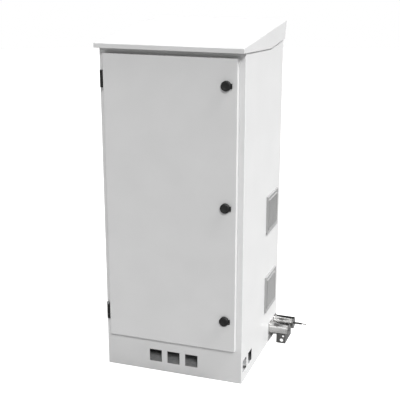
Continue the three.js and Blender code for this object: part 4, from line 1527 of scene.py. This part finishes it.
@dataclass
class Equipment:
    """The electrical equipment on the mounting plate."""

    poles: tuple[tuple[str, int], ...] = (("main_switch", 4), ("circuit_breaker", 3))
    shoulder: float = 44 * MM
    terminal_width: float = 12 * MM
    fixing_inset: float = 22 * MM

    def build(self) -> None:
        """Dresses the CAD shapes and adds screws, seams and the handle."""
        FoldShading.apply("mounting_plate", ZINC_SHEET, 0.8 * MM)
        FoldShading.apply("din_rail", BRIGHT_ZINC, 0.15 * MM)
        FoldShading.apply("main_switch", DEVICE_PLASTIC, 1.0 * MM, 3)
        FoldShading.apply("circuit_breaker", DEVICE_PLASTIC, 0.8 * MM, 3)
        FoldShading.apply("circuit_breaker_toggle", BLACK_PLASTIC, 0.6 * MM, 3)
        FoldShading.apply("terminal_block", DEVICE_PLASTIC, 0.4 * MM)
        FoldShading.apply("earth_bar", BRASS, 0.4 * MM)
        self.handle()
        self.plate_fixings()
        self.terminal_screws()
        self.earth_bar_screws()
        self.device_joints()

    def handle(self) -> None:
        """The rotary handle: a turned disc with a waisted grip and a pale pointer."""
        box = Extent.of("main_switch_handle")
        centre = box.centre
        disc_face = box.high.y - 4.7 * MM
        disc = Solid.turned(in_mm((0, 0), (20, 0), (20, 3.3), (18.6, 4.7), (0, 4.7)), 56)
        disc.placed((centre.x, box.high.y, centre.z), Facing.FRONT)
        grip = Solid.block((centre.x - 5 * MM, box.low.y, box.low.z),
                           (centre.x + 5 * MM, disc_face + MM, box.high.z), 1.8 * MM, 4)
        make_piece("main_switch_grip", [disc, grip], "switch_handle", RED_PLASTIC,
                   ("main_switch_handle",))
        pointer = Solid.block((centre.x - 1.2 * MM, box.low.y - 0.25 * MM, centre.z + 5 * MM),
                              (centre.x + 1.2 * MM, box.low.y + 1.2 * MM, box.high.z - 2.5 * MM),
                              0.2 * MM)
        make_piece("main_switch_pointer", [pointer], "switch_handle", MARK_PLASTIC)

    def plate_fixings(self) -> None:
        """Nuts at the plate's corners and screws in the rail."""
        plate = Extent.of("mounting_plate")
        rail = Extent.of("din_rail")
        inset = self.fixing_inset
        heads = [Solid.hex_head(10 * MM, 5 * MM, 8 * MM).placed((x, plate.low.y, z), Facing.FRONT)
                 for x in (plate.low.x + inset, plate.high.x - inset)
                 for z in (plate.low.z + inset, plate.high.z - inset)]
        heads += [Solid.socket_screw(4 * MM, 2.2 * MM, 1.7 * MM)
                  .placed((x, plate.low.y - MM, rail.centre.z), Facing.FRONT)
                  for x in (rail.low.x + 12 * MM, rail.high.x - 12 * MM, rail.high.x - 80 * MM)]
        make_piece("mounting_plate_fixings", heads, "cabinet", BRIGHT_ZINC)

    def terminal_screws(self) -> None:
        """Clamp screws above and below the nose of each terminal and device."""
        block = Extent.of("terminal_block")
        width = self.terminal_width
        face = block.low.y + 12 * MM
        heads = []
        for index in range(round(block.size.x / width)):
            x = block.low.x + (index + 0.5) * width
            for side in (-1, 1):
                heads.append(Solid.socket_screw(3.4 * MM, 1.6 * MM, 1.5 * MM, 4)
                             .placed((x, face, block.centre.z + side * 21 * MM), Facing.FRONT))
        for name, poles in self.poles:
            device = Extent.of(name)
            face = device.high.y - self.shoulder
            for pole in range(poles):
                x = device.low.x + (pole + 0.5) * device.size.x / poles
                for side in (-1, 1):
                    place = (x, face, device.centre.z + side * 32 * MM)
                    heads.append(Solid.socket_screw(3.8 * MM, 1.4 * MM, 1.8 * MM, 4)
                                 .placed(place, Facing.FRONT))
        make_piece("clamp_screws", heads, "cabinet", BRIGHT_ZINC)

    def earth_bar_screws(self) -> None:
        """Slotted clamp screws along the earth bar, between its wire holes."""
        bar = Extent.of("earth_bar")
        front = Vector((bar.centre.x, bar.low.y, bar.centre.z))
        heads = [Solid.socket_screw(4.2 * MM, 3 * MM, 1.8 * MM, 4)
                 .placed(front + Vector((offset * MM, 0, 0)), Facing.FRONT)
                 for offset in (-80, -40, 0, 40, 80)]
        heads += [Solid.hex_head(8 * MM, 4 * MM, 6 * MM)
                  .placed(front + Vector((offset * MM, 0, 0)), Facing.FRONT)
                  for offset in (-140, 140)]
        make_piece("earth_bar_screws", heads, "cabinet", BRIGHT_ZINC)

    def device_joints(self) -> None:
        """Thin raised seams between the poles of the switch and the breaker."""
        seams = []
        half_width, half_height = 0.5 * MM, 9.4 * MM
        for name, poles in self.poles:
            device = Extent.of(name)
            face = device.high.y - self.shoulder
            for pole in range(1, poles):
                x = device.low.x + pole * device.size.x / poles
                for side in (-1, 1):
                    z = device.centre.z + side * 32.5 * MM
                    seams.append(Solid.block(
                        (x - half_width, face - 1.2 * MM, z - half_height),
                        (x + half_width, face + MM, z + half_height), 0.25 * MM))
        make_piece("pole_barriers", seams, "cabinet", DEVICE_PLASTIC)


# ------------------------------------------------------------------------------ studio


@dataclass
class Studio:
    """Camera, lights, world and the pale floor."""

    camera_place: Triple = (1.2038, -3.3716, 1.7360)
    camera_pitch: float = 73.63
    camera_heading: float = 19.35
    lens: float = 77.91
    sensor: float = 36.0
    key_from: Triple = (0.54, 0.0, 0.84)
    key_strength: float = 4.0
    key_angle: float = 20.0
    front_from: Triple = (0.36, -0.72, 0.59)
    front_strength: float = 1.62
    front_angle: float = 12.0
    back_from: Triple = (-0.85, 0.45, 0.25)
    back_strength: float = 1.6
    back_angle: float = 30.0
    ambient: float = 0.34
    floor_tone: float = 0.35
    floor_glow: float = 0.95
    floor_radius: float = 12.0

    def build(self) -> None:
        """Makes everything round the object."""
        bpy.context.scene.view_settings.view_transform = "Standard"
        self.camera()
        self.sun("key", self.key_from, self.key_strength, self.key_angle)
        self.sun("front_fill", self.front_from, self.front_strength, self.front_angle)
        self.sun("back_fill", self.back_from, self.back_strength, self.back_angle)
        self.world()
        self.floor()

    def camera(self) -> None:
        """The camera, standing to the front right and a little above the cabinet."""
        data = bpy.data.cameras.new("camera")
        data.lens = self.lens
        data.sensor_width = self.sensor
        camera = bpy.data.objects.new("camera", data)
        camera.location = self.camera_place
        camera.rotation_euler = (math.radians(self.camera_pitch), 0,
                                 math.radians(self.camera_heading))
        bpy.context.scene.collection.objects.link(camera)
        bpy.context.scene.camera = camera

    def sun(self, name: str, place: Triple, strength: float, angle: float) -> None:
        """One distant soft light.

        Args:
            name: the light's name.
            place: the direction it comes from.
            strength: its strength.
            angle: its width in degrees.
        """
        data = bpy.data.lights.new(name, "SUN")
        data.energy = strength
        data.angle = math.radians(angle)
        light = bpy.data.objects.new(name, data)
        light.rotation_euler = Vector(place).to_track_quat("Z", "Y").to_euler()
        bpy.context.scene.collection.objects.link(light)

    def world(self) -> None:
        """A white surround: even light on matt surfaces, and a banded studio in reflections."""
        world = bpy.data.worlds.new("studio")
        bpy.context.scene.world = world
        world.use_nodes = True
        tree = world.node_tree
        tree.nodes.clear()
        add = tree.nodes.new
        output = add("ShaderNodeOutputWorld")
        path = add("ShaderNodeLightPath")
        seen, lit = add("ShaderNodeBackground"), add("ShaderNodeBackground")
        seen.inputs["Color"].default_value = (1, 1, 1, 1)
        lit.inputs["Strength"].default_value = self.ambient
        mirrored = add("ShaderNodeBackground")
        coordinates = add("ShaderNodeTexCoord")
        split = add("ShaderNodeSeparateXYZ")
        angle = add("ShaderNodeMath")
        angle.operation = "ARCTAN2"
        share = add("ShaderNodeMapRange")
        share.inputs["From Min"].default_value = -math.pi
        share.inputs["From Max"].default_value = math.pi
        flip = add("ShaderNodeMath")
        flip.operation = "MULTIPLY"
        flip.inputs[1].default_value = -1.0
        ramp = add("ShaderNodeValToRGB")
        tree.links.new(coordinates.outputs["Generated"], split.inputs[0])
        tree.links.new(split.outputs["Y"], flip.inputs[0])
        tree.links.new(split.outputs["Z"], angle.inputs[0])
        tree.links.new(flip.outputs[0], angle.inputs[1])
        tree.links.new(angle.outputs[0], share.inputs["Value"])
        tree.links.new(share.outputs["Result"], ramp.inputs["Fac"])
        self.bands(ramp.color_ramp)
        tree.links.new(ramp.outputs["Color"], mirrored.inputs["Color"])
        glossy, first = add("ShaderNodeMixShader"), add("ShaderNodeMixShader")
        tree.links.new(path.outputs["Is Glossy Ray"], glossy.inputs[0])
        tree.links.new(lit.outputs[0], glossy.inputs[1])
        tree.links.new(mirrored.outputs[0], glossy.inputs[2])
        tree.links.new(path.outputs["Is Camera Ray"], first.inputs[0])
        tree.links.new(glossy.outputs[0], first.inputs[1])
        tree.links.new(seen.outputs[0], first.inputs[2])
        tree.links.new(first.outputs[0], output.inputs["Surface"])

    def bands(self, ramp: bpy.types.ColorRamp) -> None:
        """Sets the tones met by reflections, by elevation measured from the front horizon.

        Args:
            ramp: the colour ramp, from -180 to 180 degrees.
        """
        tones = [(-180, 0.06), (-90, 0.25), (-30, 0.5), (0, 0.55), (30, 0.7), (50, 1.4), (66, 1.3),
                 (82, 0.45), (100, 0.2), (125, 0.05), (160, 0.02), (180, 0.03)]
        while len(ramp.elements) < len(tones):
            ramp.elements.new(0.5)
        for element, (degrees, tone) in zip(ramp.elements, tones):
            element.position = (degrees + 180) / 360
            element.color = (tone, tone, tone, 1)

    def floor(self) -> None:
        """The pale floor under the plinth: it reads white, and sends back moderate light."""
        low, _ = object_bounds()
        mesh = bmesh.new()
        bmesh.ops.create_circle(mesh, cap_ends=True, segments=64, radius=self.floor_radius)
        bmesh.ops.translate(mesh, vec=(0, 0, low.z - 0.2 * MM), verts=mesh.verts)
        data = bpy.data.meshes.new("floor")
        mesh.to_mesh(data)
        mesh.free()
        floor = bpy.data.objects.new("floor", data)
        bpy.context.scene.collection.objects.link(floor)
        data.materials.append(self.paper())
        floor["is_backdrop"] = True

    def paper(self) -> bpy.types.Material:
        """The floor's finish: pale matt paper that glows only where the camera sees it.

        Returns:
            The finished material.
        """
        g = Graph("floor_paper")
        diffuse = g.node("ShaderNodeBsdfDiffuse")
        g.link(g.ramp(g.noise(even(3.0)), grey(self.floor_tone - 0.01),
                      grey(self.floor_tone + 0.01)), diffuse.inputs["Color"])
        white = g.node("ShaderNodeEmission")
        white.inputs["Strength"].default_value = self.floor_glow
        both = g.node("ShaderNodeAddShader")
        g.link(diffuse.outputs[0], both.inputs[0])
        g.link(white.outputs[0], both.inputs[1])
        path = g.node("ShaderNodeLightPath")
        mix = g.node("ShaderNodeMixShader")
        g.link(path.outputs["Is Camera Ray"], mix.inputs[0])
        g.link(diffuse.outputs[0], mix.inputs[1])
        g.link(both.outputs[0], mix.inputs[2])
        g.link(mix.outputs[0], g.output.inputs["Surface"])
        return g.material


def main() -> None:
    """Builds the sub-assemblies in order."""
    logging.basicConfig(level=logging.INFO, format="%(name)s %(message)s")
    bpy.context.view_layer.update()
    Studio().build()
    Enclosure().build()
    CableGlands().build()
    Door().build()
    for place in ("upper", "lower"):
        Hinge(place).build()
    for place in ("upper", "middle", "lower"):
        QuarterTurnLock(place).build()
    for place in ("upper", "lower"):
        FilterVent(place).build()
    Fan().build()
    SideFittings().build()
    Equipment().build()


if __name__ == "__main__":
    main()
